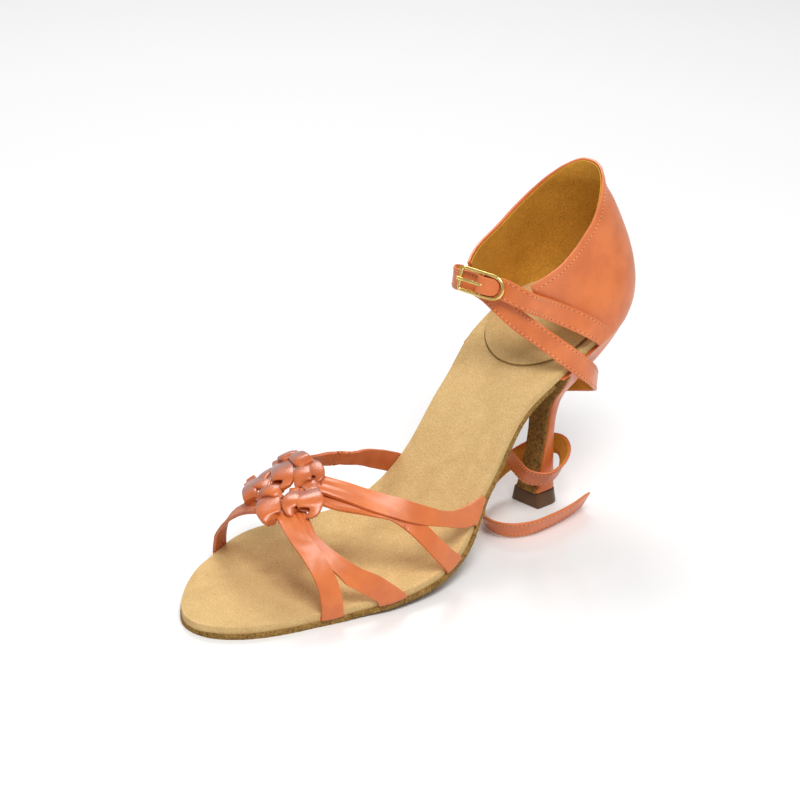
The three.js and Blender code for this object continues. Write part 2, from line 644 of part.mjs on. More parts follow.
// Pockets in the insole's underside that the strap ends are glued into
function strapPockets() {
  return joined(Object.values(toeStraps).map((rows) => toeStrap(rows, gap)));
}

// Facing of a strap that hangs on edge: level, square to its run, leaned back by an angle
function facingsAlong(points, leans) {
  const path = new THREE.CatmullRomCurve3(points, false, 'centripetal');
  return points.map((point, i) => {
    const along = path.getTangent(i / (points.length - 1));
    const level = along.clone().cross(vector(0, 0, 1)).normalize();
    return level.applyAxisAngle(along, radians(leans[i]));
  });
}

// A place on the outside of a wing, by y and z, a strap's half thickness and a gap away from it
function outsideWing(y, z, side) {
  let t = 0.8;
  for (let i = 0; i < 12; i += 1) {
    t += (onWall(t, side, z).y - y) / (wingReach / (1 - roundShare));
  }
  const facing = wallNormal(t, side, z);
  const out = counterWall / 2 + gap + 0.35 + strapThickness / 2;
  return { at: onWall(t, side, z).addScaledVector(facing, out), facing };
}

// A strap sewn over a wing that then runs free. Wing rows: y, z. Free rows: x, y, z, lean of its face
function wingStrap(wingRows, freeRows, side, count) {
  const wing = wingRows.map(([y, z]) => outsideWing(y, z, side));
  const points = [...wing.map((row) => row.at), ...freeRows.map(([x, y, z]) => vector(x, y, z))];
  const facings = facingsAlong(points, [...wing.map(() => 0), ...freeRows.map((row) => row[3])]);
  wing.forEach(({ facing }, i) => {
    facings[i] = facing;
  });
  return ribbon(points, facings, strapWidth, strapThickness, count);
}

// The buckle: a D-shaped frame with a bar across its middle. Its bar's middle and its three directions
const barPlace = vector(-3.1, -28.5, 99);
const buckleAlong = vector(-0.94, -0.34, 0.14).normalize();
const buckleFacing = vector(0.33, -0.92, 0.2).projectOnPlane(buckleAlong).normalize();
const buckleUp = buckleFacing.clone().cross(buckleAlong);
const onBuckle = (along, up, out) => barPlace.clone().addScaledVector(buckleAlong, along)
  .addScaledVector(buckleUp, up).addScaledVector(buckleFacing, out);

// The frame's middle line: square at the tongue's end, round at the other. Rows: along, up
function buckleOutline() {
  const half = (buckleWidth - buckleWire) / 2;
  const square = (buckleLength - buckleWire) / 2;
  const corner = 1.2;
  const round = (count, from, to, radius, along, up) => range(count, from, to).map(radians)
    .map((turn) => [along + radius * Math.cos(turn), up + radius * Math.sin(turn)]);
  return [
    ...round(4, 90, 0, corner, square - corner, half - corner),
    ...round(4, 0, -90, corner, square - corner, corner - half),
    ...round(9, -90, -270, half, half - square, 0),
  ];
}

// A round wire through a list of middles, closed in a ring or with plain ends
function wire(middles, radius, ring) {
  const sides = 8;
  const count = middles.length;
  return loft(middles.map((middle, i) => {
    const ahead = middles[ring ? (i + 1) % count : Math.min(i + 1, count - 1)];
    const behind = middles[ring ? (i + count - 1) % count : Math.max(i - 1, 0)];
    const along = ahead.clone().sub(behind).normalize();
    const out = buckleFacing.clone().projectOnPlane(along).normalize();
    const across = along.clone().cross(out);
    return range(sides + 1, 0, 360).slice(0, sides).map((angle) => {
      const a = radians(angle + 180 / sides);
      return middle.clone().addScaledVector(out, radius * Math.cos(a))
        .addScaledVector(across, radius * Math.sin(a));
    });
  }), ring);
}

function buckleFrame() {
  const frame = wire(buckleOutline().map(([along, up]) => onBuckle(along, up, 0)), buckleWire / 2, true);
  const reach = (buckleWidth - buckleWire) / 2;
  const bar = wire([-reach, reach].map((up) => onBuckle(0, up, 0)), barRadius, false);
  return joined([frame, bar]);
}

// The prong hooks round the bar and lies on the far end of the frame
function buckleProng() {
  const hook = barRadius + gap + prongRadius;
  const loop = range(9, -20, -265).map(radians)
    .map((turn) => onBuckle(hook * Math.cos(turn), 0, hook * Math.sin(turn)));
  const tip = (buckleLength - buckleWire) / 2;
  const rest = buckleWire / 2 + gap + prongRadius;
  const run = [[0.45 * tip, hook * 0.94], [0.8 * tip, rest], [tip + 0.9, rest - 0.1]];
  const middles = [...loop, ...run.map(([along, out]) => onBuckle(along, 0, out))];
  return joined([wire(middles, prongRadius, false)]);
}

// The buckle strap, from the feather over the lateral wing to the bar, round it and back as a short tab
const buckleWingRows = [[8.5, 77], [0.5, 82.6], [-8, 88.2], [-14, 91.8], [-18.5, 94.2]];
const layerOut = barRadius + gap + strapThickness / 2;

function buckleStrap() {
  const frameOut = buckleWire / 2 + gap + strapThickness / 2;
  const under = [[0.46, 0.4], [0.27, 0.1]].map(([share, more]) => (
    onBuckle(-share * buckleLength, 0, -frameOut - more)));
  const wing = buckleWingRows.map(([y, z]) => outsideWing(y, z, 1));
  const points = [...wing.map((row) => row.at), ...under, onBuckle(-2, 0, -layerOut)];
  const facings = facingsAlong(points, points.map(() => 0));
  wing.forEach(({ facing }, i) => {
    facings[i] = facing.negate();
  });
  facings.fill(buckleFacing.clone().negate(), wing.length);
  const main = ribbon(points, facings, strapWidth, strapThickness, 20);
  // Columns: along, out, direction the tab's outer face looks in, width
  const tabRows = [
    [-2, -layerOut, 180, strapWidth], [-0.4, -layerOut, 180, tabWidth],
    [0.72 * layerOut, -0.72 * layerOut, 135, tabWidth], [layerOut, 0, 90, tabWidth],
    [0.72 * layerOut, 0.72 * layerOut, 45, tabWidth], [0, layerOut, 0, tabWidth],
    [-0.3 * tabLength, 0.8 * layerOut, 0, tabWidth], [-0.6 * tabLength, 0.1 * layerOut, 0, tabWidth],
    [-0.85 * tabLength, -0.28 * layerOut, 0, 0.78 * tabWidth],
    [-tabLength, -0.32 * layerOut, 0, 0.4 * tabWidth],
  ];
  const tab = sheet(tabRows.map(([along, out, look, width]) => {
    const turn = radians(look);
    const facing = buckleFacing.clone().multiplyScalar(Math.cos(turn))
      .addScaledVector(buckleAlong, Math.sin(turn));
    return crossSection(onBuckle(along, 0, out), buckleUp, facing, width, strapThickness);
  }));
  const slotWidth = 2 * prongRadius + 2 * gap;
  const slotLength = 3.6 * layerOut;
  const slot = new THREE.BoxGeometry(slotLength, slotWidth, 4 * layerOut);
  slot.applyMatrix4(new THREE.Matrix4().makeBasis(buckleAlong, buckleUp, buckleFacing)
    .setPosition(onBuckle(0.1 * layerOut, 0, 0)));
  return solid(main).add(solid(tab)).subtract(solid(slot));
}

// The long strap: over the medial wing, under the buckle, down past the seat, round the heel's top,
// once round the heel column and onto the floor, where its end stands on edge
const longWingRows = [[8.5, 77.5], [0.5, 84], [-7, 89.5], [-13, 93.4], [-18.5, 95.8]];
const longFreeRows = [
  [-21.4, -25.2, 97.4, -2], [-16.2, -29.6, 98.2, -6], [-9.6, -28.1, 98, -10], [-3.6, -25.5, 95.4, -14],
  [2.5, -22.9, 90.4, -14], [10, -20.2, 84.9, -10], [17.5, -16.6, 80.1, -6], [24.5, -11.2, 74, -2],
  [27.3, -4.4, 67.6, 0], [26.6, 3, 61.8, 2], [21.4, 11, 55.8, 4], [13.8, 19, 51, 6], [5, 23.4, 47, 6],
  [-4.5, 24, 44, 6], [-12.5, 20.5, 42, 4], [-17.4, 12.5, 39.4, 2], [-18, 3, 36.2, 0], [-15.4, -5.6, 32, 0],
  [-11, -10.8, 27.6, 0], [-5.6, -12.2, 23.4, 4], [0, -11.8, 18.8, 12], [6.3, -10.8, 15.2, 22],
  [11.8, -5, 14.6, 34], [12.4, 2, 17.6, 34], [9.2, 7.4, 20.2, 28], [3.8, 10.8, 21.6, 18],
  [-2, 11.4, 20.8, 8], [-7.8, 8.6, 18, 2], [-11.2, 2.4, 15.4, 0], [-12.4, -5, 12.8, 0],
  [-11.2, -13, 10.2, 4], [-8, -20.4, 7.8, 10],
  [-3.2, -27.4, 5.8, 16], [2.8, -33, 4.8, 22], [9.4, -36.8, 4.5, 26], [15.4, -37.6, 4.4, 28],
  [21, -35.4, 4.4, 28], [25, -28.4, 4.4, 28], [25.6, -17.6, 4.4, 28], [24.2, -4.8, 4.4, 28],
  [21, 7.4, 4.4, 28],
];
const longStrap = () => wingStrap(longWingRows, longFreeRows, -1, 84);

const meshes = [];
function add(name, geometry, color, roughness, metalness = 0) {
  const material = new THREE.MeshStandardMaterial({ color, roughness, metalness });
  const mesh = new THREE.Mesh(geometry, material);
  mesh.name = name;
  meshes.push(mesh);
}

const satin = 0xe08858;
const suede = 0xd7b278;
const soleSuede = 0x7a5c2a;
const tipBrown = 0x6b4a22;
const gold = 0xe0c878;

add('outsole', outsoleSheet(), soleSuede, 0.95);
add('insole', geometryOf(solid(insoleSheet()).subtract(strapPockets())), suede, 0.9);
add('heel_pad', heelPad(), suede, 0.9);
add('heel', heelColumn(), satin, 0.4);
add('heel_tip', heelTip(), tipBrown, 0.5);
add('breast_cover', breastCover(), soleSuede, 0.95);
add('counter', counterShell(), satin, 0.4);
add('toe_straps', geometryOf(toeUpper()), satin, 0.4);
add('buckle_strap', geometryOf(buckleStrap()), satin, 0.4);
add('buckle_frame', geometryOf(buckleFrame()), gold, 0.25, 1);
add('buckle_prong', geometryOf(buckleProng()), gold, 0.25, 1);
add('long_strap', longStrap(), satin, 0.4);

const shoe = new THREE.Group();
meshes.forEach((mesh) => shoe.add(mesh));
export default shoe;
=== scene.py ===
import math
import bpy
from mathutils import Matrix, Vector, noise


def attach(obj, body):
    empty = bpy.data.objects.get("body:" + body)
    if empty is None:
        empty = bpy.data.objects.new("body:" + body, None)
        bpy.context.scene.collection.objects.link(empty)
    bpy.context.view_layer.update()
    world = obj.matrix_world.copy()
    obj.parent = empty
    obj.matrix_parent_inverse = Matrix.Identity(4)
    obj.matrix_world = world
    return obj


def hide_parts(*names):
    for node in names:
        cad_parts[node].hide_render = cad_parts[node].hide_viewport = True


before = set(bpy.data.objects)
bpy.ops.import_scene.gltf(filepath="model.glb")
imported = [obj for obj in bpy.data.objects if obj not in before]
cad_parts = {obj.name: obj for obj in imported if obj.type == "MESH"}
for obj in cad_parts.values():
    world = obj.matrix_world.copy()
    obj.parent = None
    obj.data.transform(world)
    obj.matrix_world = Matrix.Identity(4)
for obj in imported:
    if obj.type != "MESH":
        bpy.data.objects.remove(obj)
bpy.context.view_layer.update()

# The camera looks down at the shoe from in front of its lateral side, about a metre away,
# as a product photographer's does.
MM = 0.001
camera_place = Vector((630.6, -638.3, 410.4)) * MM
camera_target = Vector((-11.27, -64.0, 57.9)) * MM
camera_roll = math.radians(0.33)
photo_pixels = 800
focal_pixels = 2401.46

camera_data = bpy.data.cameras.new("camera")
camera_data.sensor_width = 36.0
camera_data.lens = focal_pixels / photo_pixels * camera_data.sensor_width
camera = bpy.data.objects.new("camera", camera_data)
bpy.context.scene.collection.objects.link(camera)
camera_back = (camera_place - camera_target).normalized()
level_right = Vector((0, 0, 1)).cross(camera_back).normalized()
level_up = camera_back.cross(level_right)
right = level_right * math.cos(camera_roll) - level_up * math.sin(camera_roll)
up = level_right * math.sin(camera_roll) + level_up * math.cos(camera_roll)
camera.matrix_world = Matrix((
    (right.x, up.x, camera_back.x, camera_place.x),
    (right.y, up.y, camera_back.y, camera_place.y),
    (right.z, up.z, camera_back.z, camera_place.z),
    (0, 0, 0, 1)))
bpy.context.scene.camera = camera

# Insole: a board bent to the last, covered in beige brushed suede that turns over its edge.
# Everything else is built on it, so the form of the last is worked out here. Millimetres.
INSOLE_LENGTH = 240
HEEL_RISE = 79.4
SEAT_WIDTH = 55
WAIST_WIDTH = 44.7
BALL_WIDTH = 80.4
AXIS_X = -2
SEAT_BACK = 41
INSOLE_THICKNESS = 2.7
SOLE_THICKNESS = 1.8
GAP = 0.3


def mix(a, b, t):
    return a + (b - a) * t


def follow(rows, column):
    """A smooth curve through rows of numbers that never overshoots them. Column 0 is the place."""
    places = [row[0] for row in rows]
    values = [row[column] for row in rows]
    steps = [b - a for a, b in zip(places, places[1:])]
    slopes = [(values[i + 1] - values[i]) / step for i, step in enumerate(steps)]
    tangents = [slopes[0]]
    for i in range(1, len(slopes)):
        if slopes[i - 1] * slopes[i] <= 0:
            tangents.append(0)
            continue
        before = 2 * steps[i] + steps[i - 1]
        after = steps[i] + 2 * steps[i - 1]
        tangents.append((before + after) / (before / slopes[i - 1] + after / slopes[i]))
    tangents.append(slopes[-1])

    def at(place):
        place = min(max(place, places[0]), places[-1])
        i = 0
        while i < len(steps) - 1 and place > places[i + 1]:
            i += 1
        t = (place - places[i]) / steps[i]
        return (values[i] * (1 + 2 * t) * (1 - t) ** 2 + tangents[i] * steps[i] * t * (1 - t) ** 2
                + values[i + 1] * t * t * (3 - 2 * t) + tangents[i + 1] * steps[i] * t * t * (t - 1))
    return at


# Fall of the insole from the seat to the forefoot. Columns: place along it, fall
fall_rows = [(0, 0.49), (0.125, 1.08), (0.25, 1.52), (0.375, 1.98), (0.5, 2.155), (0.625, 0.65),
             (0.708, 0.232), (0.79, 0.221), (0.85, 0), (0.955, 0), (1, -0.04)]
# Outline. Columns: place along it, whole width, lateral share of the width
outline_rows = [
    (0, SEAT_WIDTH, 0.467), (0.125, SEAT_WIDTH, 0.467), (0.208, 0.98 * SEAT_WIDTH, 0.478),
    (0.333, WAIST_WIDTH, 0.523), (0.458, 1.04 * WAIST_WIDTH, 0.606), (0.583, 0.784 * BALL_WIDTH, 0.578),
    (0.667, 0.945 * BALL_WIDTH, 0.513), (0.729, BALL_WIDTH, 0.465), (0.792, 0.923 * BALL_WIDTH, 0.435),
    (0.854, 0.789 * BALL_WIDTH, 0.435), (1, 0.552 * BALL_WIDTH, 0.505)]
HEEL_ROUND = 0.125
TOE_ROUND = 0.146
fall_at = follow(fall_rows, 1)
width_at = follow(outline_rows, 1)
lateral_at = follow(outline_rows, 2)
PROFILE_STEPS = 480


def last_profile():
    step = INSOLE_LENGTH / PROFILE_STEPS
    falls = [fall_at((i + 0.5) / PROFILE_STEPS) for i in range(PROFILE_STEPS)]
    scale = HEEL_RISE / (sum(falls) * step)
    points = [(SEAT_BACK, 0)]
    for fall in falls:
        drop = fall * scale
        points.append((points[-1][0] - step * math.sqrt(1 - drop * drop), points[-1][1] - step * drop))
    lowest = min(z for _, z in points)
    return [(y, z - lowest + INSOLE_THICKNESS + GAP + SOLE_THICKNESS) for y, z in points]


profile = last_profile()


def on_last(s, x, h):
    """A place on the last: s along the insole, x across, h above the insole's top."""
    at = min(max(s / INSOLE_LENGTH, 0), 1) * PROFILE_STEPS
    i = min(int(at), PROFILE_STEPS - 1)
    (y0, z0), (y1, z1) = profile[i], profile[i + 1]
    length = math.hypot(y1 - y0, z1 - z0)
    return Vector((x, mix(y0, y1, at - i) + h * (z1 - z0) / length,
                   mix(z0, z1, at - i) + h * (y0 - y1) / length))


def level_at(y, h):
    """Height of the level h from the insole's top, over a place y on the floor."""
    low, high = 0, INSOLE_LENGTH
    for _ in range(24):
        middle = (low + high) / 2
        if on_last(middle, 0, h).y > y:
            low = middle
        else:
            high = middle
    return on_last(low, 0, h).z


def edge_x(s, side):
    """Edge of the insole at s, on the side 1 (lateral) or -1 (medial), with its round ends."""
    place = min(max(s / INSOLE_LENGTH, 0), 1)
    into = max((HEEL_ROUND - place) / HEEL_ROUND, (place - 1 + TOE_ROUND) / TOE_ROUND, 0)
    share = lateral_at(place) if side > 0 else 1 - lateral_at(place)
    return AXIS_X + side * width_at(place) * share * math.sqrt(1 - into * into)


def laid_grid(name, across, along, place, size=(1, 1)):
    """A grid laid where place(u, v) says, u across and v along, with its map in millimetres."""
    bpy.ops.object.select_all(action="DESELECT")
    bpy.ops.mesh.primitive_grid_add(x_subdivisions=across, y_subdivisions=along, size=1)
    piece = bpy.context.object
    piece.name = piece.data.name = name
    for loop in piece.data.uv_layers[0].data:
        loop.uv = (loop.uv[0] * size[0], loop.uv[1] * size[1])
    for point in piece.data.vertices:
        point.co = place(point.co.x + 0.5, point.co.y + 0.5) * MM
    return piece


def take(piece):
    """Selects one piece alone."""
    bpy.ops.object.select_all(action="DESELECT")
    piece.select_set(True)
    bpy.context.view_layer.objects.active = piece


def finished(piece, thickness=0, offset=0, edge=0, segments=2, angle=50):
    """Thickens a laid skin, on both sides of it or with offset 1 below it, and rounds its edges."""
    take(piece)
    if thickness:
        wall = piece.modifiers.new("thickness", "SOLIDIFY")
        wall.thickness = thickness * MM
        wall.offset = offset
        wall.use_even_offset = False
        bpy.ops.object.modifier_apply(modifier=wall.name)
    if edge:
        bevel = piece.modifiers.new("edge", "BEVEL")
        bevel.width = edge * MM
        bevel.segments = segments
        bevel.limit_method = "ANGLE"
        bevel.angle_limit = math.radians(angle)
        bpy.ops.object.modifier_apply(modifier=bevel.name)
    bpy.ops.object.mode_set(mode="EDIT")
    bpy.ops.mesh.select_all(action="SELECT")
    bpy.ops.mesh.normals_make_consistent(inside=False)
    bpy.ops.object.mode_set(mode="OBJECT")
    bpy.ops.object.shade_smooth_by_angle(angle=math.radians(45))
    return piece


def belongs(piece, material, slot, *nodes):
    """Gives a piece its material and says what it stands for."""
    piece.data.materials.clear()
    piece.data.materials.append(material)
    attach(piece, "root")
    if nodes:
        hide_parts(*nodes)


def new_group(name, inputs, outputs):
    """A shader node group with number inputs and named outputs."""
    group = bpy.data.node_groups.new(name, "ShaderNodeTree")
    for label, value in inputs:
        socket = group.interface.new_socket(label, in_out="INPUT", socket_type="NodeSocketFloat")
        socket.default_value = value
    for label in outputs:
        group.interface.new_socket(label, in_out="OUTPUT", socket_type="NodeSocketFloat")
    return group, group.nodes.new("NodeGroupInput"), group.nodes.new("NodeGroupOutput")


def add_node(tree, kind, links=(), **values):
    """A node with its settings and its input values, by attribute or socket name, and its links."""
    node = tree.nodes.new(kind)
    for key, value in values.items():
        if hasattr(node, key):
            setattr(node, key, value)
        else:
            node.inputs[key.replace("_", " ")].default_value = value
    for source, socket in links:
        tree.links.new(source, node.inputs[socket])
    return node


def add_math(tree, operation, *values):
    """The result of a Math node on numbers and sockets."""
    node = add_node(tree, "ShaderNodeMath", operation=operation)
    for socket, value in zip(node.inputs, values):
        if isinstance(value, float):
            socket.default_value = value
        else:
            tree.links.new(value, socket)
    return node.outputs[0]


def new_material(name, **values):
    """A material, its nodes and its shader, with values set on the shader's own sockets."""
    material = bpy.data.materials.new(name)
    material.use_nodes = True
    skin = material.node_tree.nodes["Principled BSDF"]
    for key, value in values.items():
        skin.inputs[key.replace("_", " ")].default_value = value
    return material, material.node_tree, skin


def two_toned(tree, skin, group, tones, spread, strength, depth, **values):
    """Lays two tones and a bump on a shader, both from a group's Tone and Height. Gives the tones' socket."""
    cover = add_node(tree, "ShaderNodeGroup", node_tree=group, **values)
    ramp = add_node(tree, "ShaderNodeValToRGB", [(cover.outputs["Tone"], "Fac")])
    for element, place, tone in zip(ramp.color_ramp.elements, spread, tones):
        element.position = place
        element.color = (*tone, 1)
    bump = add_node(tree, "ShaderNodeBump", [(cover.outputs["Height"], "Height")], Strength=strength,
                    Distance=depth * MM)
    tree.links.new(ramp.outputs["Color"], skin.inputs["Base Color"])
    tree.links.new(bump.outputs["Normal"], skin.inputs["Normal"])
    return ramp.outputs["Color"]


# Brushed nap: cloudy patches of lighter and darker hair, and fine grain that stands up
nap_group, nap_in, nap_out = new_group("brushed nap", [("Patch", 60), ("Grain", 1400)], ["Tone", "Height"])
nap_place = add_node(nap_group, "ShaderNodeTexCoord").outputs["Object"]
nap_cloud = add_node(nap_group, "ShaderNodeTexNoise",
                     [(nap_place, "Vector"), (nap_in.outputs["Patch"], "Scale")],
                     Detail=4.0, Roughness=0.6, Distortion=0.4).outputs[0]
nap_grain = add_node(nap_group, "ShaderNodeTexNoise",
                     [(nap_place, "Vector"), (nap_in.outputs["Grain"], "Scale")],
                     Detail=3.0, Roughness=0.65).outputs[0]
nap_patches = add_math(nap_group, "MULTIPLY", nap_cloud, 0.3)
nap_tone = add_math(nap_group, "MULTIPLY_ADD", nap_grain, 0.7, nap_patches)
nap_group.links.new(nap_tone, nap_out.inputs["Tone"])
nap_group.links.new(nap_grain, nap_out.inputs["Height"])


def suede(name, dark, light, patch, grain, depth, sheen=0.25, roughness=0.92, gloss=0.2):
    """Suede in two tones, with its hair as a fine bump."""
    material, tree, skin = new_material(
        name, Roughness=roughness, Specular_IOR_Level=gloss, Sheen_Weight=sheen, Sheen_Roughness=0.5,
        Sheen_Tint=(*light, 1))
    two_toned(tree, skin, nap_group, (dark, light), (0.36, 0.64), 1.0, depth, Patch=patch, Grain=grain)
    return material


insole_suede = suede("insole suede", (0.52, 0.335, 0.13), (0.75, 0.52, 0.24), patch=110, grain=1700,
                     depth=0.14)
END_TURN = 0.011


def end_spaced(share, start=END_TURN):
    """Places along the insole, closer together at its round ends."""
    return INSOLE_LENGTH * (1 - math.cos(math.pi * mix(start, 1 - END_TURN, share))) / 2


def insole_place(u, v):
    s = end_spaced(v)
    return on_last(s, mix(edge_x(s, -1), edge_x(s, 1), u), 0)


insole = finished(laid_grid("insole_cover", 26, 190, insole_place), INSOLE_THICKNESS, 1, edge=1.0, segments=4)
belongs(insole, insole_suede, "insole_suede", "insole")

# Outsole: one sheet of brown chrome suede, brushed rough, from the toe to the heel breast. Its cut
# edge stands a little proud of the insole and is fuzzy.
BREAST_PLACE = 60.5
SOLE_MARGIN = 0.7
SOLE_TOP = -INSOLE_THICKNESS - GAP
SOLE_NEARER = 0.27
SOLE_FUZZ = 0.18
sole_suede = suede("outsole suede", (0.12, 0.06, 0.011), (0.42, 0.24, 0.07), patch=160, grain=1000, depth=0.3,
                   sheen=0.2)
breast_turn = math.acos(1 - 2 * BREAST_PLACE / INSOLE_LENGTH) / math.pi


def outsole_place(u, v):
    s = end_spaced(v, breast_turn)
    grown = min(1, (s - BREAST_PLACE) / (0.3 * INSOLE_LENGTH)) * min(1, (INSOLE_LENGTH - s) / 2)
    side = 1 if u > 0.5 else -1
    stand = SOLE_MARGIN * grown + SOLE_FUZZ * noise.noise(Vector((side * 9, s * 0.7, 0)))
    return on_last(s, mix(edge_x(s, -1) - stand, edge_x(s, 1) + stand, u), SOLE_TOP + SOLE_NEARER)


outsole = laid_grid("outsole_suede", 24, 200, outsole_place)
finished(outsole, SOLE_THICKNESS + SOLE_NEARER, 1, edge=0.3)
belongs(outsole, sole_suede, "sole_suede", "outsole")

# Heel pad: a thin sock pad of the same suede, cut round in front and glued on the seat. A thin dark tube
# round its foot is a painted shadow: the shade line along the pad's edge on the insole.
PAD_LENGTH = 60.5
PAD_INSET = 3.2
PAD_FRONT = 22
PAD_BACK = 26
PAD_THICKNESS = 0.9


def pad_place(u, v):
    start, end = PAD_INSET + 0.2, PAD_LENGTH - 0.1
    s = mix(start, end, (1 - math.cos(math.pi * v)) / 2)
    into = max((s - PAD_LENGTH + PAD_FRONT) / PAD_FRONT, 0)
    middle = (edge_x(s, 1) + edge_x(s, -1)) / 2
    half = ((edge_x(s, 1) - edge_x(s, -1)) / 2 - PAD_INSET) * math.sqrt(1 - into * into)
    return on_last(s, middle + half * (2 * u - 1), GAP + PAD_THICKNESS)


def closed_tube(piece):
    """Joins the two long edges of a laid tube."""
    take(piece)
    bpy.ops.object.mode_set(mode="EDIT")
    bpy.ops.mesh.select_all(action="SELECT")
    bpy.ops.mesh.remove_doubles(threshold=0.02 * MM)
    bpy.ops.object.mode_set(mode="OBJECT")
    return piece


pad = finished(laid_grid("heel_pad_suede", 24, 90, pad_place), PAD_THICKNESS, 1, edge=0.25)
belongs(pad, insole_suede, "insole_suede", "heel_pad")
# Dark suede for a painted shadow: the thin tube laid round the heel pad's foot
pad_shade = suede("pad edge painted shadow", (0.16, 0.085, 0.025), (0.30, 0.18, 0.06), patch=300, grain=1500, depth=0.05,
                  sheen=0.1)
PAD_SHADOW_RADIUS = 0.18


def pad_shadow_place(u, v):
    across, share = (0, 2 * v) if v < 0.5 else (1, 2 - 2 * v)
    share = min(max(share, 0.001), 0.999)
    at = pad_place(across, share)
    away = at - pad_place(0.5, share)
    away = away.normalized() if away.length > 0.2 else Vector((0, 0, 0))
    a = 2 * math.pi * u
    rise = Vector((0, 0, PAD_SHADOW_RADIUS * math.sin(a) - 0.75 * PAD_THICKNESS))
    return at + away * (0.12 + PAD_SHADOW_RADIUS * math.cos(a)) + rise


pad_shadow_line = finished(closed_tube(laid_grid("heel_pad_painted_shadow", 8, 240, pad_shadow_place)))
belongs(pad_shadow_line, pad_shade, "insole_suede")

# Heel: a flared moulded column under a seat cupped to the counter. Its satin cover is pulled round it
# and glued under the flap.
TIP_HEIGHT = 6
COLUMN_WIDTH = 11.2
COUNTER_WALL = 1.6
# Columns: share of the way up, half width, breast, back, depth of the round back
heel_rows = [
    (0, 0.52 * COLUMN_WIDTH, -0.161, 0.15, 0.14), (0.1, 0.5 * COLUMN_WIDTH, -0.12, 0.146, 0.133),
    (0.3, 0.478 * COLUMN_WIDTH, -0.041, 0.145, 0.125), (0.434, 0.49 * COLUMN_WIDTH, 0.005, 0.172, 0.135),
    (0.56, 0.575 * COLUMN_WIDTH, 0.027, 0.243, 0.17), (0.62, 0.715 * COLUMN_WIDTH, 0.03, 0.305, 0.204),
    (0.71, 0.227 * SEAT_WIDTH, 0.007, 0.42, 0.268), (0.8, 0.314 * SEAT_WIDTH, -0.02, 0.578, 0.341),
    (0.87, 0.391 * SEAT_WIDTH, -0.049, 0.77, 0.463), (0.93, 0.452 * SEAT_WIDTH, -0.1, 0.94, 0.6),
    (1, 0.5 * SEAT_WIDTH + COUNTER_WALL, -0.27, 1 + COUNTER_WALL / SEAT_BACK, 0.74)]
seat_middle = (edge_x(0.15 * INSOLE_LENGTH, 1) + edge_x(0.15 * INSOLE_LENGTH, -1)) / 2
# Columns: share of the way up, middle as a share of the column's width
heel_middle_share_at = follow([(0, 0.16), (0.3, 0.15), (0.45, 0.11), (0.6, 0.056), (0.75, 0.02),
                               (1, seat_middle / COLUMN_WIDTH)], 1)
heel_half_at, heel_front_at, heel_back_at, heel_depth_at = [follow(heel_rows, i) for i in (1, 2, 3, 4)]


def heel_middle_at(up):
    return COLUMN_WIDTH * heel_middle_share_at(up)


# Satin: a long-float weave, so its threads run one way and the light drags across them. Columns of
# threads and a slight unevenness of the cloth
satin_group, satin_in, satin_out = new_group("satin threads", [("Threads", 6), ("Twill", 0.2)],
                                             ["Tone", "Height"])
satin_map = add_node(satin_group, "ShaderNodeUVMap", uv_map="UVMap").outputs["UV"]
satin_place = add_node(satin_group, "ShaderNodeTexCoord").outputs["Object"]
satin_cloud = add_node(satin_group, "ShaderNodeTexNoise", [(satin_place, "Vector")],
                       Scale=90.0, Detail=3.0, Roughness=0.55).outputs[0]
satin_stretch = add_node(satin_group, "ShaderNodeMapping", [(satin_map, "Vector")], Scale=(1.0, 0.12, 1.0))
satin_thread = add_node(satin_group, "ShaderNodeTexNoise", [(satin_stretch.outputs[0], "Vector"),
                        (satin_in.outputs["Threads"], "Scale")], Detail=2.0, Roughness=0.5).outputs[0]
satin_wave = add_node(satin_group, "ShaderNodeTexWave", [(satin_map, "Vector")],
                      bands_direction="DIAGONAL", Scale=0.62, Distortion=0.6).outputs["Fac"]
satin_twill = satin_in.outputs["Twill"]
satin_ribs = add_math(satin_group, "MULTIPLY_ADD", satin_wave, satin_twill, satin_thread)
satin_shift = add_math(satin_group, "MULTIPLY", satin_twill, -0.5)
satin_level = add_math(satin_group, "ADD", satin_cloud, satin_shift)
satin_tone = add_math(satin_group, "MULTIPLY_ADD", satin_wave, satin_twill, satin_level)
satin_group.links.new(satin_tone, satin_out.inputs["Tone"])
satin_group.links.new(satin_ribs, satin_out.inputs["Height"])


def satin_cloth(name, dark, light, shine=0.36, twill=0.15, painted_sheen=None, relief=0.06):
    """Satin: two close tones, a thread bump and a soft stretched shine, and, if painted_sheen is given, a
    painted sheen of that greyer colour where it is seen edge on.
    """
    material, tree, skin = new_material(
        name, Roughness=shine, Specular_IOR_Level=0.65, Anisotropic=0.4, Sheen_Weight=0.12,
        Sheen_Roughness=0.35, Sheen_Tint=(1.0, 0.74, 0.6, 1))
    skin_colour = two_toned(tree, skin, satin_group, (dark, light), (0.32, 0.68), 0.7, relief,
                            Threads=5.0, Twill=twill)
    # Painted sheen: the colour is mixed into the base colour by how edge on the surface is seen, standing in
    # for reflected surroundings
    if painted_sheen:
        edge_on = add_node(tree, "ShaderNodeLayerWeight", Blend=0.5)
        painted_sheen_mask = add_node(tree, "ShaderNodeMapRange", [(edge_on.outputs["Facing"], "Value")],
                           From_Min=0.42, From_Max=0.75)
        painted_sheen_mix = add_node(tree, "ShaderNodeMix", [(painted_sheen_mask.outputs["Result"], 0), (skin_colour, 6)],
                        data_type="RGBA")
        painted_sheen_mix.inputs[7].default_value = (*painted_sheen, 1)
        tree.links.new(painted_sheen_mix.outputs[2], skin.inputs["Base Color"])
    return material


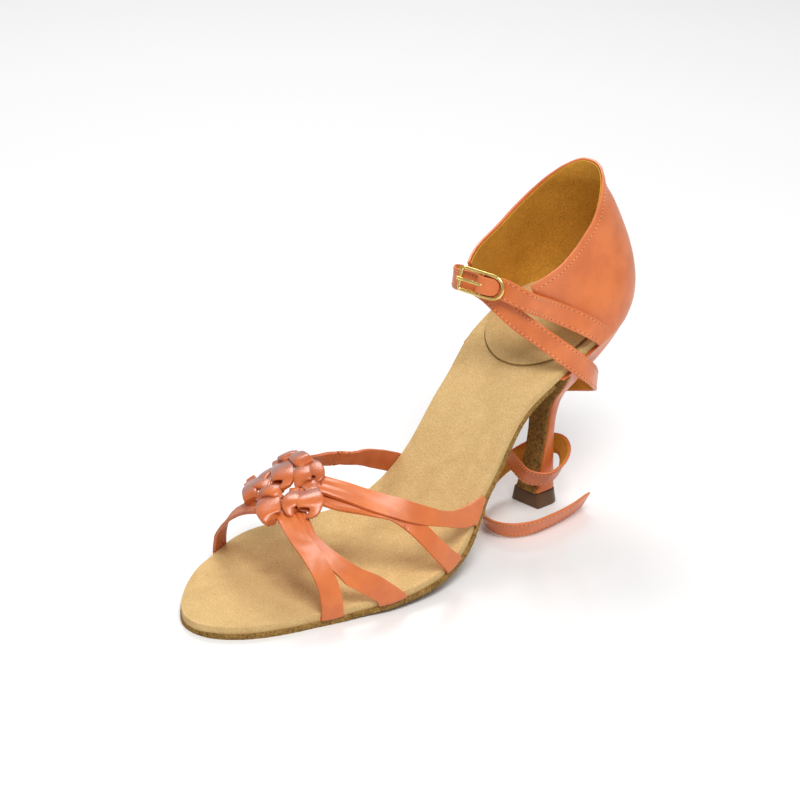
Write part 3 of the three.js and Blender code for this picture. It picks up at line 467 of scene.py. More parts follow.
satin = satin_cloth("peach satin", (0.62, 0.145, 0.034), (0.76, 0.20, 0.05))
twill_satin = satin_cloth("back of the satin", (0.36, 0.055, 0.010), (0.74, 0.21, 0.055), shine=0.5,
                          twill=0.7, relief=0.2)
# The knots' satin is a darker copy of the peach satin, painted shade of the folds, with a painted greyish
# sheen edge on
shaded_knot_satin = satin_cloth("folded satin with painted shade", (0.46, 0.095, 0.02), (0.68, 0.165, 0.038), shine=0.3, twill=0.1,
                         painted_sheen=(0.36, 0.165, 0.135))


def d_outline(half, front, sides_to, depth, steps=40):
    """The D shape of the heel and its tip, from the middle of the breast round to it again."""
    corner = min(1, half / 6)
    side = [(0, front), (half - corner, front), (half - 0.3 * corner, front + 0.3 * corner),
            (half, front + corner), (half, mix(front + corner, sides_to, 0.5))]
    turns = [math.pi * i / steps for i in range(steps + 1)]
    back = [(half * math.cos(turn), sides_to + depth * math.sin(turn)) for turn in turns]
    return side + back + [(-x, y) for x, y in reversed(side)]


def heel_outline(up):
    front, back, depth = [SEAT_BACK * at(up) for at in (heel_front_at, heel_back_at, heel_depth_at)]
    return d_outline(heel_half_at(up), front, back - depth, depth)


def along_line(points, share):
    """The point at a share of the length of a line of (x, y) points."""
    lengths = [math.dist(a, b) for a, b in zip(points, points[1:])]
    left = share * sum(lengths)
    for (a, b), length in zip(zip(points, points[1:]), lengths):
        if left <= length and length > 0:
            return mix(a[0], b[0], left / length), mix(a[1], b[1], left / length)
        left -= length
    return points[-1]


HEEL_RISES = 60
heel_lines = [heel_outline(i / HEEL_RISES) for i in range(HEEL_RISES + 1)]


def heel_place(u, v):
    x, y = along_line(heel_lines[round(v * HEEL_RISES)], u)
    return Vector((heel_middle_at(v) + x, y, mix(TIP_HEIGHT + GAP, level_at(y, SOLE_TOP), v)))


def capped_tube(piece):
    """As closed_tube, and each open end gets a face of its own."""
    closed_tube(piece)
    bpy.ops.object.mode_set(mode="EDIT")
    bpy.ops.mesh.select_all(action="DESELECT")
    bpy.ops.mesh.select_mode(type="EDGE")
    bpy.ops.mesh.select_non_manifold(extend=False, use_wire=False, use_boundary=True,
                                     use_multi_face=False, use_non_contiguous=False, use_verts=False)
    bpy.ops.mesh.fill_holes(sides=0)
    bpy.ops.object.mode_set(mode="OBJECT")
    return piece


heel = capped_tube(laid_grid("heel_satin", 96, HEEL_RISES, heel_place, (120, 75)))
finished(heel, edge=0.5, angle=60)
belongs(heel, satin, "satin", "heel")

# Heel tip: a D-shaped block of brown moulded plastic with a flat tread. A pin holds it under the heel,
# and it widens a little towards the floor.
TIP_WIDTH = 15.8
TIP_LENGTH = 14.4
TIP_DRAFT = 0.8
TIP_MIDDLE = 0.8
TIP_ROUND = 0.46 * TIP_LENGTH
tip_brown = suede("tip plastic", (0.085, 0.04, 0.016), (0.14, 0.068, 0.028), patch=300, grain=1800,
                  depth=0.03, sheen=0.0, roughness=0.45, gloss=0.45)


def tip_place(u, v):
    inset = TIP_DRAFT * v
    back, depth = TIP_LENGTH / 2 - inset, TIP_ROUND - inset
    x, y = along_line(d_outline(TIP_WIDTH / 2 - inset, -back, back - depth, depth, 30), u)
    return Vector((TIP_MIDDLE + x, y, TIP_HEIGHT * v))


tip = finished(capped_tube(laid_grid("heel_tip_block", 72, 6, tip_place)), edge=0.4, segments=3, angle=60)
belongs(tip, tip_brown, "tip", "heel_tip")

# Heel flap: the end of the outsole's suede, skived thin and glued down the front of the heel, over
# the turned edges of the satin.
FLAP_THICKNESS = 0.9
FLAP_INSET = 0.5


def flap_line(up):
    y = SEAT_BACK * heel_front_at(up)
    return Vector((0, y, mix(TIP_HEIGHT + GAP, level_at(y, SOLE_TOP), up)))


def flap_place(u, v):
    rise = 0.96 * v
    along = (flap_line(rise + 0.01) - flap_line(max(rise - 0.01, 0))).normalized()
    out = Vector((0, -along.z, along.y))
    half = heel_half_at(rise) - FLAP_INSET
    place = flap_line(rise) + out * GAP
    place.x = heel_middle_at(rise) + half * (2 * u - 1)
    return place


flap = finished(laid_grid("heel_flap_suede", 14, 60, flap_place), FLAP_THICKNESS, 1, edge=0.3)
belongs(flap, sole_suede, "sole_suede", "breast_cover")

# Counter: the stiffened back quarter, satin outside and suede inside, its topline folded over and
# stitched. It rises from the seat's edge and its wings run forward under the ankle straps.
COUNTER_HEIGHT = 57.3
WING_REACH = 26.5
WING_CURL = 5.5
ROUND_SHARE = 0.6
# Columns: share of the height, back, half width, depth of the round back
wall_rows = [
    (0, 1.053, 0.524, 0.776), (0.09, 1.106, 0.522, 0.754), (0.18, 1.118, 0.514, 0.739),
    (0.3, 1.101, 0.497, 0.727), (0.44, 1.056, 0.462, 0.72), (0.57, 0.984, 0.431, 0.718),
    (0.73, 0.872, 0.401, 0.713), (0.85, 0.765, 0.382, 0.736), (1, 0.703, 0.373, 0.768)]
# Columns: share of the way from the back to a wing's end, height above the seat, how much lower on
# the medial side
topline_rows = [
    (0, 0.984, 0), (0.05, 0.984, 0.002), (0.1, 0.976, 0.008), (0.2, 0.943, 0.028), (0.3, 0.881, 0.042),
    (0.4, 0.797, 0.046), (0.5, 0.71, 0.046), (0.6, 0.624, 0.042), (0.7, 0.545, 0.032), (0.8, 0.474, 0.019),
    (0.9, 0.407, 0), (1, 0.336, -0.023)]
# Lower edge of a wing. Columns: share of the way, height above the seat
wing_under_rows = [(0.68, -0.12), (0.76, -0.072), (0.83, -0.015), (0.9, 0.045), (1, 0.145)]
WING_CURLS_FROM = 0.43
TOP_STITCH = 2.2
wall_back_at, wall_half_at, wall_depth_at = [follow(wall_rows, i) for i in (1, 2, 3)]
topline_at = follow(topline_rows, 1)
medial_drop_at = follow(topline_rows, 2)
wing_under_at = follow(wing_under_rows, 1)
INSOLE_UNDER = -INSOLE_THICKNESS
seat_height = level_at(SEAT_BACK, INSOLE_UNDER)


def forward_at(t):
    return WING_REACH * max(0, (t - ROUND_SHARE) / (1 - ROUND_SHARE))


def wall_base(t):
    """How far round the back a place is, and the height of the wall's foot there."""
    turn = math.radians(90 * max(0, 1 - t / ROUND_SHARE))
    base = SEAT_BACK * (wall_back_at(0) + wall_depth_at(0) * (math.sin(turn) - 1)) - forward_at(t)
    return turn, level_at(base, INSOLE_UNDER)


def on_wall(t, side, z):
    """A place on the counter's wall: t from the back to a wing's end, on one side, at a height."""
    turn, foot = wall_base(t)
    rise = (z - foot) / COUNTER_HEIGHT
    forward = forward_at(t)
    curled = max(0, forward / WING_REACH - WING_CURLS_FROM) / (1 - WING_CURLS_FROM)
    half = SEAT_WIDTH * wall_half_at(rise) * math.cos(turn) - WING_CURL * curled ** 2
    y = SEAT_BACK * (wall_back_at(rise) + wall_depth_at(rise) * (math.sin(turn) - 1)) - forward
    return Vector((mix(seat_middle, AXIS_X, rise) + side * half, y, z))


def wall_out(t, side, z):
    """The outward direction there."""
    t = max(t, 0.004)
    along = on_wall(t + 0.004, side, z) - on_wall(t - 0.004, side, z)
    rise = on_wall(t, side, z + 0.4) - on_wall(t, side, z - 0.4)
    return -side * along.cross(rise).normalized()


def wall_between(t, side):
    """The heights of the wall's lower and upper edge."""
    on_wing = min(1, max(0, (t - 0.64) / 0.08))
    under = mix(wall_base(t)[1], seat_height + COUNTER_HEIGHT * wing_under_at(t), on_wing)
    drop = medial_drop_at(t) if side < 0 else 0
    return under, seat_height + COUNTER_HEIGHT * (topline_at(t) - drop)


def wall_layer(out, drop):
    """Where a layer of the counter lies: out from the wall's middle, its top drawn down by drop."""
    def place(u, v):
        side, t = (1, 1 - 2 * u) if u < 0.5 else (-1, 2 * u - 1)
        under, top = wall_between(t, side)
        z = mix(under, top - drop, v)
        return on_wall(t, side, z) + wall_out(t, side, z) * out
    return place


lining_suede = suede("lining suede", (0.46, 0.215, 0.022), (0.72, 0.36, 0.05), patch=90, grain=1300,
                     depth=0.14, sheen=0.1)
counter = finished(laid_grid("counter_satin", 120, 40, wall_layer(0.3, 0), (150, 50)), 1.0, edge=0.35)
belongs(counter, satin, "satin", "counter")
lining = finished(laid_grid("counter_lining", 120, 40, wall_layer(-0.62, 0.5)), 0.5, edge=0.15)
belongs(lining, lining_suede, "insole_suede")

# Stitches: short fat dashes of thread that sink at both ends, with a dark blob between two of them:
# painted shade for the needle hole. One is modelled and copied along each seam.
thread = satin_cloth("thread", (0.72, 0.30, 0.13), (0.86, 0.42, 0.20), 0.55)
# Painted shade: the dark colour of the blobs that stand for the shadowed needle holes
hole_shade = satin_cloth("needle hole painted shade", (0.22, 0.045, 0.012), (0.32, 0.07, 0.02), 0.8)
bpy.ops.object.select_all(action="DESELECT")
bpy.ops.mesh.primitive_uv_sphere_add(segments=6, ring_count=5, radius=0.5)
one_stitch = bpy.context.object
stitch_points = [point.co.copy() for point in one_stitch.data.vertices]
stitch_faces = [tuple(face.vertices) for face in one_stitch.data.polygons]
bpy.data.objects.remove(one_stitch)
STITCH_STEP = 1.75
STITCH_SIZE = Vector((0.44, 1.1, 0.36))
HOLE_SIZE = Vector((0.44, 0.5, 0.2))


def sewn(name, rows):
    """A row of stitches for each route, which gives the point and the outward direction at a share of it."""
    points, faces = {thread: [], hole_shade: []}, {thread: [], hole_shade: []}
    for route in rows:
        line = [route(i / 100)[0] for i in range(101)]
        length = sum((b - a).length for a, b in zip(line, line[1:]))
        count = max(2, round(length / STITCH_STEP))
        for i in range(2 * count - 1):
            share = (i + 1) / (2 * count)
            at, out = route(share)
            ahead = (route(min(share + 0.002, 1))[0] - route(max(share - 0.002, 0))[0]).normalized()
            aside = ahead.cross(out).normalized()
            # Every second dash is a dark blob of painted shade for a needle hole
            kind, size = (thread, STITCH_SIZE) if i % 2 == 0 else (hole_shade, HOLE_SIZE)
            first_point = len(points[kind])
            for point in stitch_points:
                points[kind].append((at + aside * point.x * size.x + ahead * point.y * size.y
                                     + out * point.z * size.z) * MM)
            faces[kind] += [tuple(first_point + corner for corner in face) for face in stitch_faces]
    for kind, ending in ((thread, "_stitches"), (hole_shade, "_holes")):
        mesh = bpy.data.meshes.new(name + ending)
        mesh.from_pydata(points[kind], [], faces[kind])
        mesh.uv_layers.new(name="UVMap")
        piece = bpy.data.objects.new(name + ending, mesh)
        bpy.context.scene.collection.objects.link(piece)
        bpy.context.view_layer.update()
        belongs(finished(piece), kind, "satin")


def topline_route(share):
    u = mix(0.004, 0.996, share)
    side, t = (1, 1 - 2 * u) if u < 0.5 else (-1, 2 * u - 1)
    z = wall_between(t, side)[1] - TOP_STITCH
    out = wall_out(t, side, z)
    return on_wall(t, side, z) + out * 0.82, out


sewn("counter", [topline_route])

# Toe straps: five satin bands folded lengthwise from one strip, each glued under the insole's edge,
# and drawn over the empty toe room to the knots.
STRAP_THICKNESS = 1.2
TOE_STRAP_WIDTH = 8
TUCK_LENGTH = 7
TUCK_STARTS = 0.86
INSTEP_HEIGHT = 50
# Height of the toe room. Columns: place along the insole, share of the instep's height
arch_at = follow([(0.25, 1.5), (0.458, 1.1), (0.542, 1), (0.604, 0.9), (0.667, 0.8), (0.729, 0.72),
                  (0.792, 0.64), (0.854, 0.56), (1, 0.4)], 1)
# Columns: turn round the arch, place along the insole, lift, share of the width
toe_straps = {
    "front_lateral": [(86, 0.81, 0.4, 0.8), (75, 0.82, 0.4, 0.84), (60, 0.83, 0.3, 0.88),
                      (48, 0.83, 0.3, 0.92), (37, 0.828, 0.1, 0.96), (20, 0.825, 0, 1), (0, 0.826, 0, 1)],
    "second_lateral": [(78, 0.785, -0.6, 0.5), (67, 0.798, -0.8, 0.5), (55, 0.809, -0.8, 0.56),
                       (44, 0.807, -0.7, 0.68), (33, 0.798, -0.3, 0.8), (22, 0.783, 0, 0.92),
                       (13, 0.763, 0, 1), (0, 0.732, 0, 1)],
    "third_lateral": [(80, 0.753, -0.8, 0.95), (66, 0.735, -0.8, 1), (55, 0.706, -0.8, 1),
                      (44, 0.672, -0.8, 1), (35, 0.657, -0.6, 1), (28, 0.649, -0.2, 1), (15, 0.63, 0, 1),
                      (0, 0.604, 0, 1)],
    "back_lateral": [(94, 0.744, 1, 0.95), (80, 0.737, 1, 1), (66, 0.719, 0.8, 1), (55, 0.699, 0.7, 1),
                     (42, 0.661, 0.6, 1), (31, 0.622, 0.3, 1), (17, 0.563, 0, 1), (5, 0.522, 0, 1),
                     (0, 0.504, 0, 1)],
    "front_medial": [(94, 0.822, 0, 0.85), (108, 0.825, -1, 0.95), (128, 0.824, -2.4, 1),
                     (148, 0.817, -2.4, 1), (166, 0.811, -0.8, 1), (180, 0.81, 0, 1)],
    "back_medial": [(112, 0.71, 1, 0.8), (124, 0.684, 0.2, 0.9), (136, 0.65, 0, 1), (145, 0.6, 0, 1),
                    (152, 0.554, 0, 1), (161, 0.518, 0, 1), (171, 0.5, 0, 1), (180, 0.487, 0, 1)],
}


def on_arch(s, turn, lift=0):
    """A place on the arch of the toe room, by its turn from the lateral edge (0) to the medial (180)."""
    angle = math.radians(turn)
    lateral, medial = edge_x(s, 1), edge_x(s, -1)
    x = (lateral + medial) / 2 + ((lateral - medial) / 2 + 1 + lift) * math.cos(angle)
    return on_last(s, x, (INSTEP_HEIGHT * arch_at(s / INSOLE_LENGTH) + lift) * math.sin(angle))


def arch_out(s, turn):
    along = on_arch(s - 1, turn) - on_arch(s + 1, turn)
    around = on_arch(s, turn + 1) - on_arch(s, turn - 1)
    return -along.cross(around).normalized()


def smooth_line(points):
    """A smooth curve through points, each an equal share of the way along."""
    def at(u):
        place = (len(points) - 1) * min(max(u, 0), 1)
        i = min(int(place), len(points) - 2)
        t = place - i
        b, c = points[i], points[i + 1]
        a = points[i - 1] if i > 0 else 2 * b - c
        d = points[i + 2] if i + 2 < len(points) else 2 * c - b
        da, db, dc = [math.sqrt((q - p).length) or 1 for p, q in ((a, b), (b, c), (c, d))]
        go = ((b - a) / da - (c - a) / (da + db) + (c - b) / db) * db
        come = ((c - b) / db - (d - b) / (db + dc) + (d - c) / dc) * db
        return b + go * t + (3 * (c - b) - 2 * go - come) * t * t + (2 * (b - c) + go + come) * t ** 3
    return at


def toe_strap_surface(rows):
    """Where a toe strap's middle layer lies: share of the way, share across (-1 to 1), distance out."""
    side = 1 if rows[-1][0] < 90 else -1
    path = smooth_line([Vector((turn, place * INSOLE_LENGTH, lift)) for turn, place, lift, _ in rows])
    share_at = follow([(i / (len(rows) - 1), row[3]) for i, row in enumerate(rows)], 1)

    def on_path(u):
        here = path(u)
        return on_arch(here.y, here.x, here.z)

    def directions(u):
        here = path(u)
        along = (on_path(min(u + 0.01, 1)) - on_path(max(u - 0.01, 0))).normalized()
        edge = (on_arch(here.y + 0.5, here.x) - on_arch(here.y - 0.5, here.x)).normalized()
        out = arch_out(here.y, here.x)
        aside = along.cross(out).normalized()
        spread = 1 / max(0.45, math.sqrt(1 - along.dot(edge) ** 2))
        return aside if aside.dot(edge) > 0 else -aside, out, spread

    end = path(1).y
    slant = (end - path(0.93).y) / 3
    end_spread = directions(1)[2]
    tuck_level = INSOLE_UNDER + STRAP_THICKNESS / 2
    # Columns: share of the tuck, place outside the edge, level, share of the slant, turn of the outer face
    tuck_rows = [(0, 1, -1, 0.3, 0), (0.25, 0.75, tuck_level + 0.25, 0.5, 45),
                 (0.45, 0.1, tuck_level, 0.8, 90), (1, -TUCK_LENGTH, tuck_level, 3.5, 90)]
    tuck_at = [follow(tuck_rows, column) for column in (1, 2, 3, 4)]

    def surface(v, share_across, out):
        u = min(v / TUCK_STARTS, 1)
        across = TOE_STRAP_WIDTH / 2 * share_at(u) * share_across
        if v <= TUCK_STARTS:
            here = path(u)
            aside, outward, spread = directions(u)
            s = here.y + across * spread
            flat = on_path(u) + aside * across + outward * out
            laid = on_arch(s, here.x, here.z) + arch_out(s, here.x) * out
            return flat.lerp(laid, min(1, max(0, (u - 0.5) / 0.3)))
        stand, level, share, face = [column((v - TUCK_STARTS) / (1 - TUCK_STARTS)) for column in tuck_at]
        s = end + across * end_spread + slant * share
        angle = math.radians(face)
        x = edge_x(s, side) + side * (stand + out * math.cos(angle))
        return on_last(s, x, level - out * math.sin(angle))
    return surface


# How a strap is gathered by its knot: soft ridges along it that die out within a third of its length
GATHER_DEPTH = 0.28
GATHER_REACH = 0.34

for name, rows in toe_straps.items():
    surface = toe_strap_surface(rows)
    phase = len(name)

    def strap_place(u, v):
        across = 2 * u - 1
        gathered = max(0, 1 - v / GATHER_REACH) ** 1.5
        ridges = GATHER_DEPTH * gathered * math.cos(math.pi * (2.5 * across + 0.35 * math.sin(9 * v + phase)))
        sag = 0.12 * noise.noise(Vector((phase, 14 * v, 1.2 * across)))
        return surface(v, across, 0.2 * (1 - across ** 2) + ridges + sag * (1 if v < 0.8 else 0))
    strap = laid_grid("toe_strap_" + name, 22, 110, strap_place, (TOE_STRAP_WIDTH, 70))
    finished(strap, STRAP_THICKNESS, edge=0.4, segments=3)
    stands_for = ["toe_straps"] if name == "front_lateral" else []
    belongs(strap, twill_satin if name.endswith("medial") else satin, "satin", *stands_for)

# Knots: the strap ends drawn round each other in a ring. Each fold of a strap is a puffed band, creased
# where it dives under its neighbour.
FOLD_WIDTH = 8.732
FOLD_THICKNESS = 4.6
# Columns: place along the insole, turn round the arch, lift, share of the width
knot_folds = {
    "top_left": [(0.721, 126, 1.6, 0.52), (0.716, 125, 3.4, 0.69), (0.708, 124, 4.4, 0.78),
                 (0.714, 116, 4.2, 0.72), (0.716, 114, 2.6, 0.52)],
    "top_right": [(0.693, 123, 3.2, 0.45), (0.716, 108, 4.4, 0.72), (0.725, 100, 4.4, 0.78),
                  (0.726, 96, 3, 0.6)],
    "top_band": [(0.715, 125, 2.4, 0.82), (0.747, 107, 3.4, 0.99), (0.763, 99, 3.4, 1),
                 (0.771, 96, 2.4, 0.91), (0.77, 97, 0.2, 0.75)],
    "left_strap": [(0.723, 127, 1.6, 0.67), (0.732, 128, 1.8, 0.72), (0.755, 121, 1.6, 0.69),
                   (0.771, 118, 1, 0.63)],
    "left_fold": [(0.776, 104, 0.8, 0.6), (0.782, 108, 1.8, 0.67), (0.784, 114, 2.2, 0.64),
                  (0.772, 127, 1.2, 0.49)],
    "left_side": [(0.765, 129, 1.8, 0.52), (0.791, 119, 1.9, 0.69), (0.809, 112, 1.5, 0.69),
                  (0.818, 109, 0.4, 0.6)],
    "front_leaf": [(0.822, 100, 1.6, 0.19), (0.812, 99, 3.2, 0.49), (0.802, 95, 3.8, 0.63),
                   (0.8, 90, 3.4, 0.49), (0.796, 87, 1.6, 0.19)],
    "front_body": [(0.8, 96, 1.2, 0.82), (0.82, 91, 2.4, 1.06), (0.836, 86, 2.6, 1.06), (0.844, 81, 2, 0.87),
                   (0.842, 79, 0.2, 0.57)],
    "second_left": [(0.774, 86, 1, 0.45), (0.788, 82, 2.4, 0.69), (0.8, 78, 2.8, 0.84), (0.804, 75, 2, 0.75),
                    (0.801, 74, 0.2, 0.52)],
    "second_right": [(0.76, 81, 1, 0.9), (0.772, 75, 2.8, 1.12), (0.78, 71, 3.2, 1.17),
                     (0.786, 68, 2.4, 0.91), (0.785, 68, 0.2, 0.6)],
    "right_inner": [(0.726, 99, 2.6, 0.57), (0.74, 94, 3.2, 0.75), (0.751, 89, 3, 0.79),
                    (0.756, 87, 1.8, 0.72), (0.756, 86, 0.2, 0.57)],
    "right_outer": [(0.718, 98, 2.4, 0.5), (0.722, 93, 2.6, 0.69), (0.729, 88, 2.4, 0.72),
                    (0.736, 85, 1.8, 0.63), (0.738, 86, 0.2, 0.49)],
    "right_strap": [(0.738, 82, 0.8, 0.52), (0.748, 83, 1.2, 0.49), (0.76, 83, 1, 0.45)],
}
# Section of a fold, two flat faces that meet in a ridge: share of half its width, share of its height
fold_section = [Vector((x, out, 0)) for x, out in (
    (0.98, -0.3), (1, 0.22), (0.93, 0.46), (0.6, 0.76), (0.28, 1.04), (0.12, 1.06), (-0.3, 0.84),
    (-0.9, 0.56), (-1, 0.3), (-0.98, -0.3), (0, -0.5))]


def round_line(points):
    """A smooth closed curve through points, by the share of the way round."""
    line = smooth_line(points[-2:] + points + points[:3])
    return lambda share: line((2 + len(points) * (share % 1)) / (len(points) + 4))


section_line = round_line(fold_section)
FOLD_END = 0.2
FOLD_CREASE = 0.75
FOLD_TUCK = 0.25
FOLD_DIVE = 1.6

for name, rows in knot_folds.items():
    points = [on_arch(place * INSOLE_LENGTH, turn, lift) for place, turn, lift, _ in rows]
    facings = [arch_out(place * INSOLE_LENGTH, turn) for place, turn, _, _ in rows]
    points = [points[0].lerp(points[1], -FOLD_TUCK)] + points + [points[-1].lerp(points[-2], -FOLD_TUCK)]
    shares = [rows[0][3]] + [row[3] for row in rows] + [rows[-1][3]]
    path = smooth_line(points)
    facing_path = smooth_line(facings[:1] + facings + facings[-1:])
    width_share_at = follow([(i / (len(shares) - 1), share) for i, share in enumerate(shares)], 1)
    phase = 3.7 * len(name) + 40 * rows[0][0]

    def fold_place(u, v):
        along = (path(min(v + 0.001, 1)) - path(max(v - 0.001, 0))).normalized()
        facing = facing_path(v).normalized()
        aside = along.cross(facing).normalized()
        corner = section_line(u)
        ending = max(0, 1 - min(v, 1 - v) / FOLD_END)
        drawn = math.sqrt(max(0.02, 1 - ending ** 2))
        valley = (1 - abs(math.sin(2.3 * corner.x + phase + 1.6 * v))) ** 2
        crease = FOLD_CREASE * (0.25 + 0.75 * abs(2 * v - 1)) * valley
        high = FOLD_THICKNESS / 2 * (0.6 + 0.4 * math.sin(math.pi * mix(0.08, 0.92, v)))
        half = FOLD_WIDTH / 2 * width_share_at(v)
        lift = (high * corner.y - (crease if corner.y > 0 else 0)) * drawn - FOLD_DIVE * ending ** 2
        return path(v) + aside * half * corner.x * mix(0.7, 1, drawn) + facing * lift
    fold = finished(capped_tube(laid_grid("knot_" + name, 72, 44, fold_place, (18, 12))))
    belongs(fold, shaded_knot_satin, "satin")

# Inside the ring of knots runs a rolled strap that the folds are drawn round. Its ends are sewn
# together under them. Columns: place, turn, lift
core_rows = [(0.706, 122, 1), (0.737, 116, 0.6), (0.77, 108, 0.4), (0.794, 98, 0.2), (0.801, 88, 0),
             (0.792, 81, 0), (0.768, 79, 0.2), (0.746, 86, 0.2), (0.726, 98, 0.6)]
CORE_RADIUS = 1.9
core_line = round_line([on_arch(place * INSOLE_LENGTH, turn, lift) for place, turn, lift in core_rows])


def core_place(u, v):
    along = (core_line(v + 0.004) - core_line(v - 0.004)).normalized()
    aside = along.cross(Vector((0, 0, 1))).normalized()
    a = 2 * math.pi * u
    radius = CORE_RADIUS * (1 + 0.1 * math.cos(4 * a + 30 * v))
    return core_line(v) + (aside * math.cos(a) + aside.cross(along) * math.sin(a)) * radius


core = finished(closed_tube(laid_grid("knot_core", 20, 120, core_place, (12, 60))))
belongs(core, shaded_knot_satin, "satin")

# Ankle straps: satin bands with a stitch row along each edge and suede behind. The buckle strap is sewn
# over the lateral wing; the long strap starts on the medial wing and goes round the heel to the floor.
STRAP_WIDTH = 8.5


def outside_wing(y, z, side):
    """A place on the outside of a wing, a strap's half thickness away, and the way it faces."""
    t = 0.8
    for _ in range(12):
        t += (on_wall(t, side, z).y - y) / (WING_REACH / (1 - ROUND_SHARE))
    facing = wall_out(t, side, z)
    return on_wall(t, side, z) + facing * (COUNTER_WALL / 2 + GAP + 0.35 + STRAP_THICKNESS / 2), facing


def leaned_facings(points, leans):
    path = smooth_line(points)
    facings = []
    for i, lean in enumerate(leans):
        u = i / (len(points) - 1)
        along = (path(min(u + 0.0001, 1)) - path(max(u - 0.0001, 0))).normalized()
        level = along.cross(Vector((0, 0, 1))).normalized()
        facings.append(Matrix.Rotation(math.radians(lean), 3, along) @ level)
    return facings


def strap_surface(points, facings):
    """Where a free strap's middle layer lies: share of the way, distance across, distance out."""
    path, turned = smooth_line(points), smooth_line(facings)

    def surface(v, across, out):
        along = (path(min(v + 0.0001, 1)) - path(max(v - 0.0001, 0))).normalized()
        side = along.cross(turned(v)).normalized()
        return path(v) + side * across + side.cross(along).normalized() * out
    return surface


def ankle_strap(name, surface, face, steps, backing_steps, length, inset=0, sewn_to=0.99):
    """The satin band, the suede behind it and its two rows of stitches. face is the side of the satin."""
    band = laid_grid(name + "_satin", 10, steps,
                     lambda u, v: surface(v, STRAP_WIDTH * (u - 0.5), 0.15 * face), (STRAP_WIDTH, length))
    belongs(finished(band, 0.9, edge=0.35), satin, "satin", name)
    backing = laid_grid(name + "_lining", 4, backing_steps, lambda u, v: surface(
        mix(inset, 1 - inset, v), (STRAP_WIDTH - 1.2) * (u - 0.5), -0.42 * face))
    belongs(finished(backing, 0.35, edge=0.1, segments=1), lining_suede, "insole_suede")

    def row(across):
        def route(share):
            v = mix(0.01, sewn_to, share)
            at = surface(v, across, 0.62 * face)
            return at, (surface(v, across, 0.62 * face + 1) - at).normalized()
        return route
    sewn(name, [row(side * (STRAP_WIDTH / 2 - 1.1)) for side in (-1, 1)])


# Along the wing: y, z. Columns of the free strap: x, y, z, lean in degrees
long_wing_rows = [(8.5, 77.5), (0.5, 84), (-7, 89.5), (-13, 93.4), (-18.5, 95.8)]
long_free_rows = [
    (-21.4, -25.2, 97.4, -2), (-16.2, -29.6, 98.2, -6), (-9.6, -28.1, 98, -10), (-3.6, -25.5, 95.4, -14),
    (2.5, -22.9, 90.4, -14), (10, -20.2, 84.9, -10), (17.5, -16.6, 80.1, -6), (24.5, -11.2, 74, -2),
    (27.3, -4.4, 67.6, 0), (26.6, 3, 61.8, 2), (21.4, 11, 55.8, 4), (13.8, 19, 51, 6), (5, 23.4, 47, 6),
    (-4.5, 24, 44, 6), (-12.5, 20.5, 42, 4), (-17.4, 12.5, 39.4, 2), (-18, 3, 36.2, 0), (-15.4, -5.6, 32, 0),
    (-11, -10.8, 27.6, 0), (-5.6, -12.2, 23.4, 4), (0, -11.8, 18.8, 12), (6.3, -10.8, 15.2, 22),
    (11.8, -5, 14.6, 34), (12.4, 2, 17.6, 34), (9.2, 7.4, 20.2, 28), (3.8, 10.8, 21.6, 18),
    (-2, 11.4, 20.8, 8), (-7.8, 8.6, 18, 2), (-11.2, 2.4, 15.4, 0), (-12.4, -5, 12.8, 0),
    (-11.2, -13, 10.2, 4), (-8, -20.4, 7.8, 10), (-3.2, -27.4, 5.8, 16), (2.8, -33, 4.8, 22),
    (9.4, -36.8, 4.5, 26), (15.4, -37.6, 4.4, 28), (21, -35.4, 4.4, 28), (25, -28.4, 4.4, 28),
    (25.6, -17.6, 4.4, 28), (24.2, -4.8, 4.4, 28), (21, 7.4, 4.4, 28)]
long_wing = [outside_wing(y, z, -1) for y, z in long_wing_rows]
long_points = [at for at, _ in long_wing] + [Vector(row[:3]) for row in long_free_rows]
long_facings = leaned_facings(long_points, [0] * len(long_wing) + [row[3] for row in long_free_rows])
long_facings[:len(long_wing)] = [facing for _, facing in long_wing]
ankle_strap("long_strap", strap_surface(long_points, long_facings), 1, 420, 300, 420, inset=0.003)

# Buckle strap and buckle: the strap's end is skived narrow, turned round the bar and sewn down. The
# buckle is a gold-plated cast frame with a bar across its middle, and a prong bent round the bar.
BUCKLE_LENGTH = 20
BUCKLE_WIDTH = 10.4
BUCKLE_WIRE = 1.5
BUCKLE_CORNER = 1.2
BAR_RADIUS = 0.7
PRONG_RADIUS = 0.65
TAB_WIDTH = 6.9
TAB_LENGTH = 7.3
bar_place = Vector((-3.1, -28.5, 99))
buckle_along = Vector((-0.94, -0.34, 0.14)).normalized()
buckle_facing = Vector((0.33, -0.92, 0.2))
buckle_facing = (buckle_facing - buckle_along * buckle_facing.dot(buckle_along)).normalized()
buckle_up = buckle_facing.cross(buckle_along)
LAYER_OUT = BAR_RADIUS + GAP + STRAP_THICKNESS / 2


def on_buckle(along, rise, out):
    return bar_place + buckle_along * along + buckle_up * rise + buckle_facing * out


buckle_wing_rows = [(8.5, 77), (0.5, 82.6), (-8, 88.2), (-14, 91.8), (-18.5, 94.2)]
buckle_wing = [outside_wing(y, z, 1) for y, z in buckle_wing_rows]
frame_out = BUCKLE_WIRE / 2 + GAP + STRAP_THICKNESS / 2
buckle_under = [on_buckle(-share * BUCKLE_LENGTH, 0, -frame_out - more)
                for share, more in ((0.46, 0.4), (0.27, 0.1))]
buckle_points = [at for at, _ in buckle_wing] + buckle_under + [on_buckle(-2, 0, -LAYER_OUT)]
buckle_facings = [-facing for _, facing in buckle_wing] + [-buckle_facing] * 3
ankle_strap("buckle_strap", strap_surface(buckle_points, buckle_facings), -1, 90, 80, 60, sewn_to=0.86)

